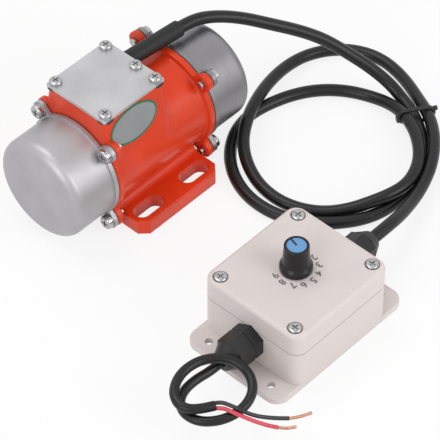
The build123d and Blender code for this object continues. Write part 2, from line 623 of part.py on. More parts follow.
def eccentric_weight(start_x, boss_start):
    """Half-moon weight with a split hub that a cross bolt closes on the shaft.

    Its round boss reaches back to boss_start.
    """
    with BuildPart() as weight:
        with BuildSketch(across_axis(start_x)):
            Circle(WEIGHT_R)
            with Locations((0, WEIGHT_R)):
                Rectangle(2 * WEIGHT_R, 2 * WEIGHT_R, mode=Mode.SUBTRACT)
            with Locations((0, WEIGHT_TOP / 2)):
                Rectangle(2 * WEIGHT_HUB_R, WEIGHT_TOP)
            with Locations((0, WEIGHT_TOP / 2)):
                Rectangle(WEIGHT_SPLIT, WEIGHT_TOP, mode=Mode.SUBTRACT)
        extrude(amount=WEIGHT_T)
        if boss_start < start_x:
            with BuildSketch(across_axis(boss_start)):
                Circle(WEIGHT_BOSS_R)
            extrude(amount=start_x - boss_start)
        with BuildSketch(across_axis(boss_start)):
            Circle(SHAFT_END_R + PRESS)
        extrude(amount=start_x + WEIGHT_T - boss_start, mode=Mode.SUBTRACT)
        bolt_line = Plane(origin=(start_x + WEIGHT_T / 2, WEIGHT_HUB_R, AXIS_H + CLAMP_BOLT_Z),
                          z_dir=(0, 1, 0))
        with BuildSketch(bolt_line):
            Circle(CLAMP_SCREW[0] + THREAD_GAP)
        extrude(amount=-2 * WEIGHT_HUB_R, mode=Mode.SUBTRACT)
    return weight.part


def clamp_bolts(side):
    """One socket-head bolt through each split hub on a side."""
    shank_r, head_r, head_h = CLAMP_SCREW
    bolts = []
    for start_x in weight_starts():
        x = side * (start_x + WEIGHT_T / 2)
        seat = Plane(origin=(x, WEIGHT_HUB_R, AXIS_H + CLAMP_BOLT_Z), z_dir=(0, 1, 0))
        with BuildPart() as bolt:
            with BuildSketch(seat):
                Circle(head_r)
            extrude(amount=head_h)
            with BuildSketch(seat.offset(head_h)):
                RegularPolygon(head_r * HEX_SOCKET, 6)
            extrude(amount=-head_h / 2, mode=Mode.SUBTRACT)
            with BuildSketch(seat):
                Circle(shank_r)
            extrude(amount=-2 * WEIGHT_HUB_R - CLAMP_BOLT_TIP)
        bolts.append(bolt.part)
    return bolts


def weight_starts():
    return [WEIGHT_START, WEIGHT_START + WEIGHT_T + WEIGHT_GAP]


def both_ends(piece, name):
    """Write a right-hand piece and its mirror under the names of the two motor ends."""
    save(mirror(piece, about=Plane.YZ), f"left_{name}")
    save(piece, f"right_{name}")


def save_pair(piece, name):
    """Write a right-hand piece and its mirror as two solids of one node."""
    save(Compound(children=[mirror(piece, about=Plane.YZ), piece]), name)


both_ends(end_cap(), "end_cap")
save_pair(cap_gasket(), "cap_gaskets")
both_ends(bearing_shield(), "bearing_shield")
save_pair(bearing_outer_ring(), "bearing_outer_rings")
save_pair(bearing_inner_ring(), "bearing_inner_rings")
both_ends(bearing_balls(), "bearing_balls")
both_ends(bearing_cage(), "bearing_cage")
inner_start, outer_start = weight_starts()
both_ends(eccentric_weight(inner_start, BEARING_OUT_X), "inner_weight")
both_ends(eccentric_weight(outer_start, outer_start), "outer_weight")
save(Compound(children=[bolt for side in (-1, 1) for bolt in clamp_bolts(side)]),
     "weight_clamp_bolts")

# Cap screws, four at each end, and a spring washer under each head
cap_points = [(sy * LUG_OFFSET, sz * LUG_OFFSET) for sy in (-1, 1) for sz in (-1, 1)]
right_cap_screws = cross_headed_screw(across_axis(CAP_HEAD_X + WASHER_T), cap_points, CAP_SCREW,
                                      WASHER_T + CAP_FLANGE_T + GASKET_T + FLANGE_T + CAP_SCREW_TIP)
left_cap_screws = mirror(right_cap_screws, about=Plane.YZ)
save(Compound(children=list(right_cap_screws.solids()) + list(left_cap_screws.solids())),
     "cap_screws")
with BuildPart() as cap_washers:
    for side in (-1, 1):
        with BuildSketch(across_axis(side * CAP_HEAD_X)):
            with cap_screw_places():
                Circle(CAP_SCREW[1] + WASHER_RIM)
                Circle(CAP_SCREW[0] + THREAD_GAP, mode=Mode.SUBTRACT)
        extrude(amount=side * WASHER_T)
save(cap_washers.part, "cap_washers")

# Stator: slotted core pressed in the bore, with one coil on each tooth
tooth_in_r = TIP_R + TOOTH_TIP_T / 2
tooth_out_r = BORE_R - YOKE_T / 2
with BuildPart() as stator_core:
    with BuildSketch(across_axis(-CORE_L / 2)):
        Circle(BORE_R - PRESS)
        Circle(BORE_R - YOKE_T, mode=Mode.SUBTRACT)
        with PolarLocations((tooth_in_r + tooth_out_r) / 2, TEETH, start_angle=FIRST_TOOTH):
            Rectangle(tooth_out_r - tooth_in_r, TOOTH_W)
        with PolarLocations(0, TEETH, start_angle=FIRST_TOOTH):
            add(ring_sector(TIP_R, TIP_R + TOOTH_TIP_T, TOOTH_TIP_ARC))
    extrude(amount=CORE_L)
save(stator_core.part, "stator_core")

coil_planes = []
for n in range(TEETH):
    angle = radians(FIRST_TOOTH + n * 360 / TEETH)
    outward = Vector(0, cos(angle), sin(angle))
    coil_planes.append(Plane(origin=Vector(0, 0, AXIS_H) + outward * coil_in_r, x_dir=(1, 0, 0),
                             z_dir=outward))
with BuildPart() as stator_windings:
    with BuildSketch(*coil_planes):
        RectangleRounded(2 * coil_end_x, TOOTH_W + 2 * (COIL_GAP + COIL_T), COIL_T)
        Rectangle(2 * (coil_end_x - COIL_T), TOOTH_W + 2 * COIL_GAP, mode=Mode.SUBTRACT)
    extrude(amount=coil_out_r - coil_in_r)
save(stator_windings.part, "stator_windings")

# Rotor: stepped shaft, core and surface magnets
with BuildPart() as rotor_shaft:
    with BuildSketch(across_axis(-BEARING_IN_X)):
        Circle(SHAFT_CORE_R)
    extrude(amount=2 * BEARING_IN_X)
    with BuildSketch(across_axis(-BEARING_OUT_X)):
        Circle(BEARING_BORE_R - PRESS)
    extrude(amount=2 * BEARING_OUT_X)
    with BuildSketch(across_axis(-SHAFT_L / 2)):
        Circle(SHAFT_END_R)
    extrude(amount=SHAFT_L)
    ends = rotor_shaft.edges().group_by(Axis.X)
    chamfer(ends[0] + ends[-1], SHAFT_CHAMFER)
save(rotor_shaft.part, "rotor_shaft")

with BuildPart() as rotor_core:
    with BuildSketch(across_axis(-CORE_L / 2)):
        Circle(ROTOR_CORE_R)
        Circle(SHAFT_CORE_R + PRESS, mode=Mode.SUBTRACT)
    extrude(amount=CORE_L)
save(rotor_core.part, "rotor_core")

with BuildPart() as rotor_magnets:
    with BuildSketch(across_axis(-CORE_L / 2)):
        with PolarLocations(0, MAGNETS):
            add(ring_sector(ROTOR_CORE_R + PRESS, ROTOR_R, MAGNET_ARC))
    extrude(amount=CORE_L)
save(rotor_magnets.part, "rotor_magnets")

# Controller enclosure: base with two lug plates, posts and standoffs
ctrl_screw_places = GridLocations(CTRL_SCREW_X, CTRL_SCREW_Y, 2, 2)
board_screw_places = GridLocations(BOARD_SCREW_X, BOARD_SCREW_Y, 2, 2)
screw_seat_z = CTRL_H - CTRL_RECESS_DEPTH
ctrl_screw_l = screw_seat_z - CTRL_BASE_H + CTRL_SCREW_GRIP
ctrl_walls = [Plane(origin=(CONTROLLER_X + side * CTRL_L / 2, GLAND_AXIS_Y, GLAND_Z), x_dir=(0, 1, 0),
                    z_dir=(side, 0, 0)) for side in (-1, 1)]


def seal_ring():
    """Outline of the seal, in the middle of the enclosure's wall."""
    for inset, mode in (((CTRL_WALL - SEAL_W) / 2, Mode.ADD), ((CTRL_WALL + SEAL_W) / 2, Mode.SUBTRACT)):
        RectangleRounded(CTRL_L - 2 * inset, CTRL_W - 2 * inset, CTRL_CORNER_R - inset, mode=mode)


with BuildPart() as controller_base:
    with BuildSketch(CONTROLLER):
        RectangleRounded(CTRL_L + 2 * LUG_PLATE_OUT, CTRL_W, LUG_PLATE_R)
    extrude(amount=LUG_PLATE_T)
    fillet(controller_base.faces().sort_by(Axis.Z)[-1].edges(), CTRL_LUG_EDGE_R)
    with BuildSketch(CONTROLLER):
        RectangleRounded(CTRL_L, CTRL_W, CTRL_CORNER_R)
    extrude(amount=CTRL_BASE_H)
    with BuildSketch(CONTROLLER.offset(CTRL_WALL)):
        RectangleRounded(CTRL_L - 2 * CTRL_WALL, CTRL_W - 2 * CTRL_WALL, CTRL_CORNER_R - CTRL_WALL)
    extrude(amount=CTRL_BASE_H - CTRL_WALL, mode=Mode.SUBTRACT)
    with BuildSketch(CONTROLLER.offset(CTRL_WALL)):
        with ctrl_screw_places:
            Circle(CTRL_POST_R)
    extrude(amount=CTRL_BASE_H - CTRL_WALL)
    with BuildSketch(CONTROLLER.offset(CTRL_WALL)):
        with board_screw_places:
            Circle(STANDOFF_R)
    extrude(amount=BOARD_Z - CTRL_WALL)
    with BuildSketch(CONTROLLER.offset(CTRL_BASE_H)):
        with ctrl_screw_places:
            Circle(ENCLOSURE_SCREW[0] + THREAD_GAP)
    extrude(amount=-CTRL_SCREW_GRIP - CTRL_SCREW_ROOM, mode=Mode.SUBTRACT)
    with BuildSketch(CONTROLLER.offset(BOARD_Z)):
        with board_screw_places:
            Circle(BOARD_SCREW[0] + THREAD_GAP)
    extrude(amount=-BOARD_SCREW_GRIP - THREAD_GAP, mode=Mode.SUBTRACT)
    with BuildSketch(CONTROLLER):
        with GridLocations(LUG_HOLE_X, LUG_HOLE_Y, 2, 2):
            Circle(LUG_HOLE_R)
    extrude(amount=LUG_PLATE_T, mode=Mode.SUBTRACT)
    with BuildSketch(*ctrl_walls):
        Circle(GLAND_THREAD_R + FIT)
    extrude(amount=-CTRL_WALL, mode=Mode.SUBTRACT)
    with BuildSketch(CONTROLLER.offset(CTRL_BASE_H)):
        seal_ring()
    extrude(amount=-SEAL_T, mode=Mode.SUBTRACT)
save(controller_base.part, "controller_base")

with BuildPart() as controller_seal:
    with BuildSketch(CONTROLLER.offset(CTRL_BASE_H - SEAL_T)):
        seal_ring()
    extrude(amount=SEAL_T)
save(controller_seal.part, "controller_seal")

# Lid with screw posts, sunk screw seats and a locating lip along each long wall
lip_y = CTRL_W / 2 - CTRL_WALL - CTRL_LIP_GAP - CTRL_LIP_T / 2
lip_root_y = CTRL_W / 2 - CTRL_WALL - (CTRL_LIP_GAP + CTRL_LIP_T) / 2
lip_l = CTRL_SCREW_X - 2 * CTRL_POST_R - 2 * CTRL_LIP_END
with BuildPart() as controller_lid:
    with BuildSketch(CONTROLLER.offset(CTRL_BASE_H)):
        RectangleRounded(CTRL_L, CTRL_W, CTRL_CORNER_R)
    extrude(amount=CTRL_LID_H)
    fillet(controller_lid.faces().sort_by(Axis.Z)[-1].edges(), CTRL_EDGE_R)
    with BuildSketch(CONTROLLER.offset(CTRL_BASE_H)):
        RectangleRounded(CTRL_L - 2 * CTRL_WALL, CTRL_W - 2 * CTRL_WALL, CTRL_CORNER_R - CTRL_WALL)
    extrude(amount=CTRL_LID_H - CTRL_WALL, mode=Mode.SUBTRACT)
    with BuildSketch(CONTROLLER.offset(CTRL_BASE_H)):
        with ctrl_screw_places:
            Circle(CTRL_POST_R)
    extrude(amount=CTRL_LID_H - CTRL_WALL)
    with BuildSketch(CONTROLLER.offset(CTRL_BASE_H - CTRL_LIP_H)):
        with Locations((0, lip_y), (0, -lip_y)):
            Rectangle(lip_l, CTRL_LIP_T)
    extrude(amount=CTRL_LIP_H)
    with BuildSketch(CONTROLLER.offset(CTRL_BASE_H)):
        with Locations((0, lip_root_y), (0, -lip_root_y)):
            Rectangle(lip_l, CTRL_LIP_T + CTRL_LIP_GAP)
    extrude(amount=CTRL_WALL)
    with BuildSketch(CONTROLLER.offset(screw_seat_z)):
        with ctrl_screw_places:
            Circle(CTRL_RECESS_R)
    extrude(amount=CTRL_RECESS_DEPTH, mode=Mode.SUBTRACT)
    with BuildSketch(CONTROLLER.offset(CTRL_BASE_H)):
        with ctrl_screw_places:
            Circle(ENCLOSURE_SCREW[0] + THREAD_GAP)
        with Locations((KNOB_X, KNOB_Y)):
            Circle(POT_BUSH_R + FIT)
    extrude(amount=CTRL_LID_H, mode=Mode.SUBTRACT)
save(controller_lid.part, "controller_lid")

ctrl_screw_points = [(sx * CTRL_SCREW_X / 2, sy * CTRL_SCREW_Y / 2) for sx in (-1, 1) for sy in (-1, 1)]
save(cross_headed_screw(CONTROLLER.offset(screw_seat_z), ctrl_screw_points, ENCLOSURE_SCREW,
                        ctrl_screw_l), "controller_lid_screws")

# Circuit board and what stands on it. The capacitors reach up to below the potentiometer.
board_top = BOARD_Z + BOARD_T
pot_seat_z = CTRL_H - CTRL_WALL
pot_bottom_z = pot_seat_z - POT_H
with BuildPart() as circuit_board:
    with BuildSketch(CONTROLLER.offset(BOARD_Z)):
        Rectangle(BOARD_L, BOARD_W)
        with board_screw_places:
            Circle(BOARD_SCREW[0] + THREAD_GAP, mode=Mode.SUBTRACT)
    extrude(amount=BOARD_T)
save(circuit_board.part, "circuit_board")

board_screw_points = [(sx * BOARD_SCREW_X / 2, sy * BOARD_SCREW_Y / 2) for sx in (-1, 1) for sy in (-1, 1)]
save(cross_headed_screw(CONTROLLER.offset(board_top), board_screw_points, BOARD_SCREW,
                        BOARD_T + BOARD_SCREW_GRIP), "board_screws")

with BuildPart() as capacitors:
    with BuildSketch(CONTROLLER.offset(board_top)):
        with Locations((CAPACITOR_X, -CAPACITOR_PITCH / 2), (CAPACITOR_X, CAPACITOR_PITCH / 2)):
            Circle(CAPACITOR_R)
    extrude(amount=pot_bottom_z - CAPACITOR_ROOM - board_top)
save(capacitors.part, "capacitors")

with BuildPart() as power_transistors:
    with BuildSketch(CONTROLLER.offset(board_top)):
        with Locations((TRANSISTOR_X, 0)):
            with GridLocations(0, TRANSISTOR_PITCH, 1, TRANSISTORS):
                Rectangle(TRANSISTOR[0], TRANSISTOR[1])
    extrude(amount=TRANSISTOR[2])
save(power_transistors.part, "power_transistors")

terminal_x = BOARD_L / 2 - TERMINAL_INSET - BOARD_TERMINAL[0] / 2
with BuildPart() as board_terminals:
    with BuildSketch(CONTROLLER.offset(board_top)):
        with Locations((-terminal_x, 0), (terminal_x, 0)):
            Rectangle(BOARD_TERMINAL[0], BOARD_TERMINAL[1])
    extrude(amount=BOARD_TERMINAL[2])
    with BuildSketch(CONTROLLER.offset(board_top + BOARD_TERMINAL[2])):
        with Locations((-terminal_x, 0), (terminal_x, 0)):
            with GridLocations(0, TERMINAL_PITCH, 1, TERMINAL_WAYS):
                Circle(TERMINAL_HOLE_R)
    extrude(amount=-TERMINAL_HOLE_R, mode=Mode.SUBTRACT)
save(board_terminals.part, "board_terminals")

# Potentiometer: its bushing comes through the lid and a nut holds it
knob_bottom_z = CTRL_H + KNOB_LIFT
knob_top_z = knob_bottom_z + KNOB_H
pot_shaft_top_z = knob_top_z - KNOB_RIM - KNOB_CAP_T - KNOB_CROWN_T
bush_top_z = CTRL_H + POT_NUT_T + POT_BUSH_OVER
POT = CONTROLLER.offset(pot_seat_z).shift_origin(Vector(*KNOB_AT, pot_seat_z))
with BuildPart() as potentiometer_body:
    with BuildSketch(POT):
        Circle(POT_R)
    extrude(amount=-POT_H)
    with BuildSketch(POT):
        Circle(POT_BUSH_R)
    extrude(amount=bush_top_z - pot_seat_z)
    with BuildSketch(POT.offset(-POT_SHAFT_IN)):
        Circle(POT_SHAFT_R + POT_SHAFT_GAP)
    extrude(amount=POT_SHAFT_IN + bush_top_z - pot_seat_z, mode=Mode.SUBTRACT)
save(potentiometer_body.part, "potentiometer_body")

with BuildPart() as potentiometer_nut:
    with BuildSketch(POT.offset(CTRL_WALL)):
        RegularPolygon(POT_NUT_AF / 2, 6, major_radius=False)
        Circle(POT_BUSH_R + FIT, mode=Mode.SUBTRACT)
    extrude(amount=POT_NUT_T)
save(potentiometer_nut.part, "potentiometer_nut")

with BuildPart() as potentiometer_shaft:
    with BuildSketch(POT.offset(-POT_SHAFT_IN + POT_SHAFT_GAP)):
        Circle(POT_SHAFT_R)
    extrude(amount=pot_shaft_top_z - pot_seat_z + POT_SHAFT_IN - POT_SHAFT_GAP)
save(potentiometer_shaft.part, "potentiometer_shaft")

# Knob: flared skirt, tapered grip, room for the nut beneath and a cap let into its top
KNOB = POT.offset(knob_bottom_z - pot_seat_z)
with BuildPart() as knob:
    with BuildSketch(Plane(origin=KNOB.origin, x_dir=(1, 0, 0), z_dir=(0, -1, 0))):
        with BuildLine():
            Polyline((0, 0), (KNOB_SKIRT_R, 0), (KNOB_SKIRT_R, KNOB_SKIRT_H), (KNOB_NECK_R, KNOB_NECK_H),
                     (KNOB_TOP_R, KNOB_H), (0, KNOB_H), (0, 0))
        make_face()
    revolve(axis=Axis(KNOB.origin, (0, 0, 1)))
    fillet(knob.edges().filter_by(GeomType.CIRCLE).group_by(Axis.Z)[-1], KNOB_EDGE_R)
    fillet(knob.edges().filter_by(GeomType.CIRCLE).group_by(Axis.Z)[1:3], KNOB_SKIRT_ROUND)
    with BuildSketch(KNOB):
        Circle(KNOB_NUT_ROOM_R)
    extrude(amount=KNOB_NUT_ROOM_H, mode=Mode.SUBTRACT)
    with BuildSketch(KNOB):
        Circle(POT_SHAFT_R + PRESS)
    extrude(amount=pot_shaft_top_z - knob_bottom_z, mode=Mode.SUBTRACT)
    with BuildSketch(KNOB.offset(KNOB_H)):
        Circle(KNOB_CAP_R + PRESS)
    extrude(amount=-KNOB_RIM - KNOB_CAP_T, mode=Mode.SUBTRACT)
save(knob.part, "knob")

with BuildPart() as knob_cap:
    with BuildSketch(KNOB.offset(KNOB_H - KNOB_RIM)):
        Circle(KNOB_CAP_R)
    extrude(amount=-KNOB_CAP_T)
    pointer_dir = Vector(cos(radians(POINTER_ANGLE)), sin(radians(POINTER_ANGLE)), 0)
    cap_top = KNOB.origin + Vector(0, 0, KNOB_H - KNOB_RIM)
    with BuildSketch(Plane(origin=cap_top, x_dir=pointer_dir, z_dir=(0, 0, 1))):
        with Locations((KNOB_CAP_R / 2, 0)):
            Rectangle(KNOB_CAP_R, POINTER_W)
    extrude(amount=-POINTER_DEPTH, mode=Mode.SUBTRACT)
save(knob_cap.part, "knob_cap")


def gland_body(wall, cable_r):
    """Hexagon against the wall, thread through it and a stub for the seal outside."""
    with BuildPart() as body:
        with BuildSketch(wall):
            RegularPolygon(GLAND_AF / 2, 6, major_radius=False, rotation=GLAND_TURN)
        extrude(amount=GLAND_FLANGE_T)
        fillet(body.faces().sort_by(Axis(wall.origin, wall.z_dir))[-1].edges(), GLAND_EDGE_R)
        with BuildSketch(wall.offset(GLAND_FLANGE_T)):
            Circle(GLAND_STUB_R)
        extrude(amount=GLAND_STUB_L)
        with BuildSketch(wall):
            Circle(GLAND_THREAD_R)
        extrude(amount=-CTRL_WALL - GLAND_INSIDE)
        with BuildSketch(wall.offset(-CTRL_WALL - GLAND_INSIDE)):
            Circle(cable_r + FIT)
        extrude(amount=CTRL_WALL + GLAND_INSIDE + GLAND_FLANGE_T + GLAND_STUB_L, mode=Mode.SUBTRACT)
        with BuildSketch(wall.offset(GLAND_FLANGE_T + GLAND_STUB_L)):
            Circle(GLAND_SEAL_R + FIT)
        extrude(amount=-GLAND_SEAL_L, mode=Mode.SUBTRACT)
    return body.part


def gland_nut(wall, cable_r):
    """Hexagon cap with a tapered dome that closes on the cable."""
    across_r = GLAND_AF / 2
    with BuildPart() as nut:
        with BuildSketch(wall.offset(GLAND_FLANGE_T)):
            RegularPolygon(across_r, 6, major_radius=False, rotation=GLAND_TURN)
        extrude(amount=GLAND_NUT_L - GLAND_DOME_L)
        for end in (0, -1):
            face = nut.faces().sort_by(Axis(wall.origin, wall.z_dir))[end]
            fillet(face.edges(), GLAND_EDGE_R)
        with BuildSketch(wall.offset(GLAND_FLANGE_T + GLAND_NUT_L - GLAND_DOME_L)):
            Circle(across_r)
        extrude(amount=GLAND_DOME_L, taper=degrees(atan2(across_r - GLAND_DOME_R, GLAND_DOME_L)))
        tip = nut.faces().sort_by(Axis(wall.origin, wall.z_dir))[-1]
        fillet(tip.edges(), GLAND_DOME_EDGE)
        with BuildSketch(wall.offset(GLAND_FLANGE_T)):
            Circle(GLAND_STUB_R + GLAND_STUB_GAP)
        extrude(amount=GLAND_STUB_L + GLAND_STUB_GAP, mode=Mode.SUBTRACT)
        with BuildSketch(wall.offset(GLAND_FLANGE_T)):
            Circle(cable_r + FIT)
        extrude(amount=GLAND_NUT_L, mode=Mode.SUBTRACT)
    return nut.part


cable_sizes = (("input", SUPPLY_R), ("output", CABLE_R))
for wall, (name, cable_r) in zip(ctrl_walls, cable_sizes):
    save(gland_body(wall, cable_r), f"{name}_gland_body")
    save(gland_nut(wall, cable_r), f"{name}_gland_nut")

with BuildPart() as gland_locknuts:
    with BuildSketch(*[wall.offset(-CTRL_WALL) for wall in ctrl_walls]):
        RegularPolygon(LOCKNUT_AF / 2, 6, major_radius=False, rotation=GLAND_TURN)
        Circle(GLAND_THREAD_R + FIT, mode=Mode.SUBTRACT)
    extrude(amount=-LOCKNUT_T)
save(gland_locknuts.part, "gland_locknuts")

with BuildPart() as gland_seals:
    for wall, (name, cable_r) in zip(ctrl_walls, cable_sizes):
        with BuildSketch(wall.offset(GLAND_FLANGE_T + GLAND_STUB_L)):
            Circle(GLAND_SEAL_R)
            Circle(cable_r + FIT, mode=Mode.SUBTRACT)
        extrude(amount=-GLAND_SEAL_L)
save(gland_seals.part, "gland_seals")

# Motor cable: from the sleeve down to a coil, and out of the coil to the controller
sleeve_end = sleeve_mouth.offset(SLEEVE_L).origin
coil_outside = [(41.0, -27.3), (24.5, -43.0), (18.2, -62.0), (20.8, -80.0), (31.5, -96.5), (52.0, -110.5),
                (78.0, -117.5), (100.0, -111.0), (121.0, -93.0), (138.0, -71.0), (145.5, -50.0),
                (141.5, -29.0), (129.0, -12.5), (110.0, -5.0), (88.0, -5.5), (64.0, -17.0)]
coil_inside = [(50.4, -33.4), (41.5, -46.5), (37.6, -61.3), (39.5, -76.5), (46.0, -88.5), (57.0, -96.8),
               (72.0, -101.2), (88.5, -99.5), (101.5, -93.5), (110.5, -84.5), (116.0, -70.5),
               (112.5, -54.5), (102.5, -40.0), (89.0, -29.5), (75.0, -24.4), (61.7, -25.4)]
with BuildPart() as motor_cable_coil:
    with BuildSketch(Plane.XY.offset(COIL_BOTTOM)):
        with BuildLine():
            Spline(*coil_outside, periodic=True)
        make_face()
        with BuildLine():
            Spline(*coil_inside, periodic=True)
        make_face(mode=Mode.SUBTRACT)
    extrude(amount=COIL_TOP - COIL_BOTTOM)
save(motor_cable_coil.part, "motor_cable_coil")

lead_points = [tuple(sleeve_end), (50.8, 4.2, 62.2), (62.5, 0.3, 59.0), (74.0, -6.2, 54.2),
               (84.6, -14.0, 48.3), (94.2, -22.9, 41.0), (102.5, -32.6, 33.0), (109.8, -42.8, 25.0),
               (116.0, -53.5, 16.8), (120.6, -63.0, 9.8), (123.6, -70.6, 5.6)]
tail_points = [(OUTPUT_EXIT_X, GLAND_AXIS_Y, GLAND_Z), (45.0, -125.0, 16.2), (57.6, -122.8, 12.8),
               (69.9, -119.6, 9.2), (81.7, -115.8, 6.5), (93.0, -110.8, 5.2)]
supply_points = [(INPUT_EXIT_X, GLAND_AXIS_Y, GLAND_Z), (-76.0, -125.0, 16.2), (-83.6, -123.5, 16.0),
                 (-91.6, -123.6, 15.7), (-98.2, -126.8, 15.5), (-101.6, -133.2, 15.6),
                 (-100.6, -140.8, 15.9), (-95.2, -146.8, 16.2), (-87.6, -150.3, 16.7),
                 (-79.4, -150.6, 17.5), (-72.2, -147.6, 18.5), (-67.5, -141.0, 19.8),
                 (-67.3, -133.2, 21.8), (-71.2, -126.2, 22.6), (-78.3, -121.3, 22.8),
                 (-86.6, -119.7, 22.6), (-94.9, -121.5, 22.2), (-101.0, -126.2, 21.6),
                 (-103.0, -132.6, 21.1), (-99.2, -138.4, 20.5), (-91.6, -142.1, 19.9)]
lead = cord("motor cable, lead", lead_points, CABLE_R)
tail = cord("motor cable, tail", tail_points, CABLE_R)
for tube, name in ((lead, "motor_cable_lead"), (tail, "motor_cable_tail")):
    with BuildPart() as free_cable:
        add(tube)
        add(motor_cable_coil.part, mode=Mode.SUBTRACT)
    save(free_cable.part, name)
save(cord("supply cable", supply_points, SUPPLY_R), "supply_cable")

# Cable tie round the coil
TIE = Plane(origin=(TIE_X, TIE_Y, (COIL_BOTTOM + COIL_TOP) / 2),
            x_dir=(cos(radians(TIE_YAW)), sin(radians(TIE_YAW)), 0),
            z_dir=(-sin(radians(TIE_YAW)), cos(radians(TIE_YAW)), 0))
with BuildPart() as cable_tie:
    with BuildSketch(TIE.offset(-TIE_W / 2)):
        Rectangle(TIE_SPAN + 2 * TIE_T, COIL_TOP - COIL_BOTTOM + 2 * TIE_T)
        Rectangle(TIE_SPAN - 2 * TIE_T, COIL_TOP - COIL_BOTTOM - 2 * TIE_T, mode=Mode.SUBTRACT)
    extrude(amount=TIE_W)
    add(motor_cable_coil.part, mode=Mode.SUBTRACT)
save(cable_tie.part, "cable_tie")

# The supply cable's two cores and their bare ends
black_points = [(-91.7, -141.1, 20.7), (-89.0, -143.2, 21.2), (-87.8, -147.6, 21.5), (-86.5, -152.1, 21.2),
                (-84.2, -155.8, 19.0), (-80.7, -158.6, 16.4), (-76.6, -161.4, 14.2), (-72.8, -163.9, 12.5),
                (-69.5, -166.2, 11.5)]
red_points = [(-92.5, -142.5, 19.2), (-90.1, -145.4, 19.9), (-89.3, -150.1, 20.4), (-87.8, -154.0, 19.6),
              (-85.3, -157.4, 17.4), (-82.3, -160.6, 14.9), (-79.2, -163.5, 12.6), (-76.5, -166.1, 11.3)]
black_strand_points = [(-69.5, -166.2, 11.5), (-66.4, -168.1, 10.9), (-62.9, -169.6, 10.5),
                       (-59.5, -170.8, 10.3)]
red_strand_points = [(-76.5, -166.1, 11.3), (-74.4, -168.2, 10.6), (-72.1, -169.9, 10.2),
                     (-69.9, -171.0, 10.1)]
save(cord("black wire", black_points, WIRE_R), "black_wire")
save(cord("red wire", red_points, WIRE_R), "red_wire")
save(Compound(children=[cord("black wire, strands", black_strand_points, STRAND_R),
                        cord("red wire, strands", red_strand_points, STRAND_R)]), "copper_strands")
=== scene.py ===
"""Looks of the vibration motor and its speed controller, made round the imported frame.

Metres, +Z up. The motor stands at the origin with its shaft along X, and the controller stands
in front of it. The stage and its camera come first, then the cables, the label, the dial's
numbers and the finishes.
"""
import math

import bmesh
import bpy
from mathutils import Matrix, Vector


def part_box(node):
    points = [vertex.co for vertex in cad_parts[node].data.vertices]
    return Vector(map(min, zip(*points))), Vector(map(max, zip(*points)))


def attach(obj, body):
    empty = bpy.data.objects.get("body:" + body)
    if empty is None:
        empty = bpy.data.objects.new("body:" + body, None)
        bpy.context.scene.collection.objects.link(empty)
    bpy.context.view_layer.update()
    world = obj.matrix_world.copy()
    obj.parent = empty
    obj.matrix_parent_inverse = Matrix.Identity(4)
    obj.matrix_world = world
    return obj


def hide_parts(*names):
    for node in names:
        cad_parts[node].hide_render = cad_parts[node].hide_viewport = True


bl_info = {
    "name": "Vibration motor looks",
    "version": (1, 0, 0),
    "blender": (4, 5, 0),
    "location": "3D View > Sidebar > Vibration motor",
    "description": "Cables, label, dial marks and finishes for a vibration motor with its speed controller",
    "category": "Object",
}

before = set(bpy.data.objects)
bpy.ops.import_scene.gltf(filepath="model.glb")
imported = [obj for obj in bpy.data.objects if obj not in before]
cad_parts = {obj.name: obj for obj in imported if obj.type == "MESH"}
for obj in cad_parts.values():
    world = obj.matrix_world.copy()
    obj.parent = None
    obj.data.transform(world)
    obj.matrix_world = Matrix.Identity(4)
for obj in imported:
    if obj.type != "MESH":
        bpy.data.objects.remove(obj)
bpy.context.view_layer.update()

SHELL = "motor_and_controller"
KNOB = "speed_knob"

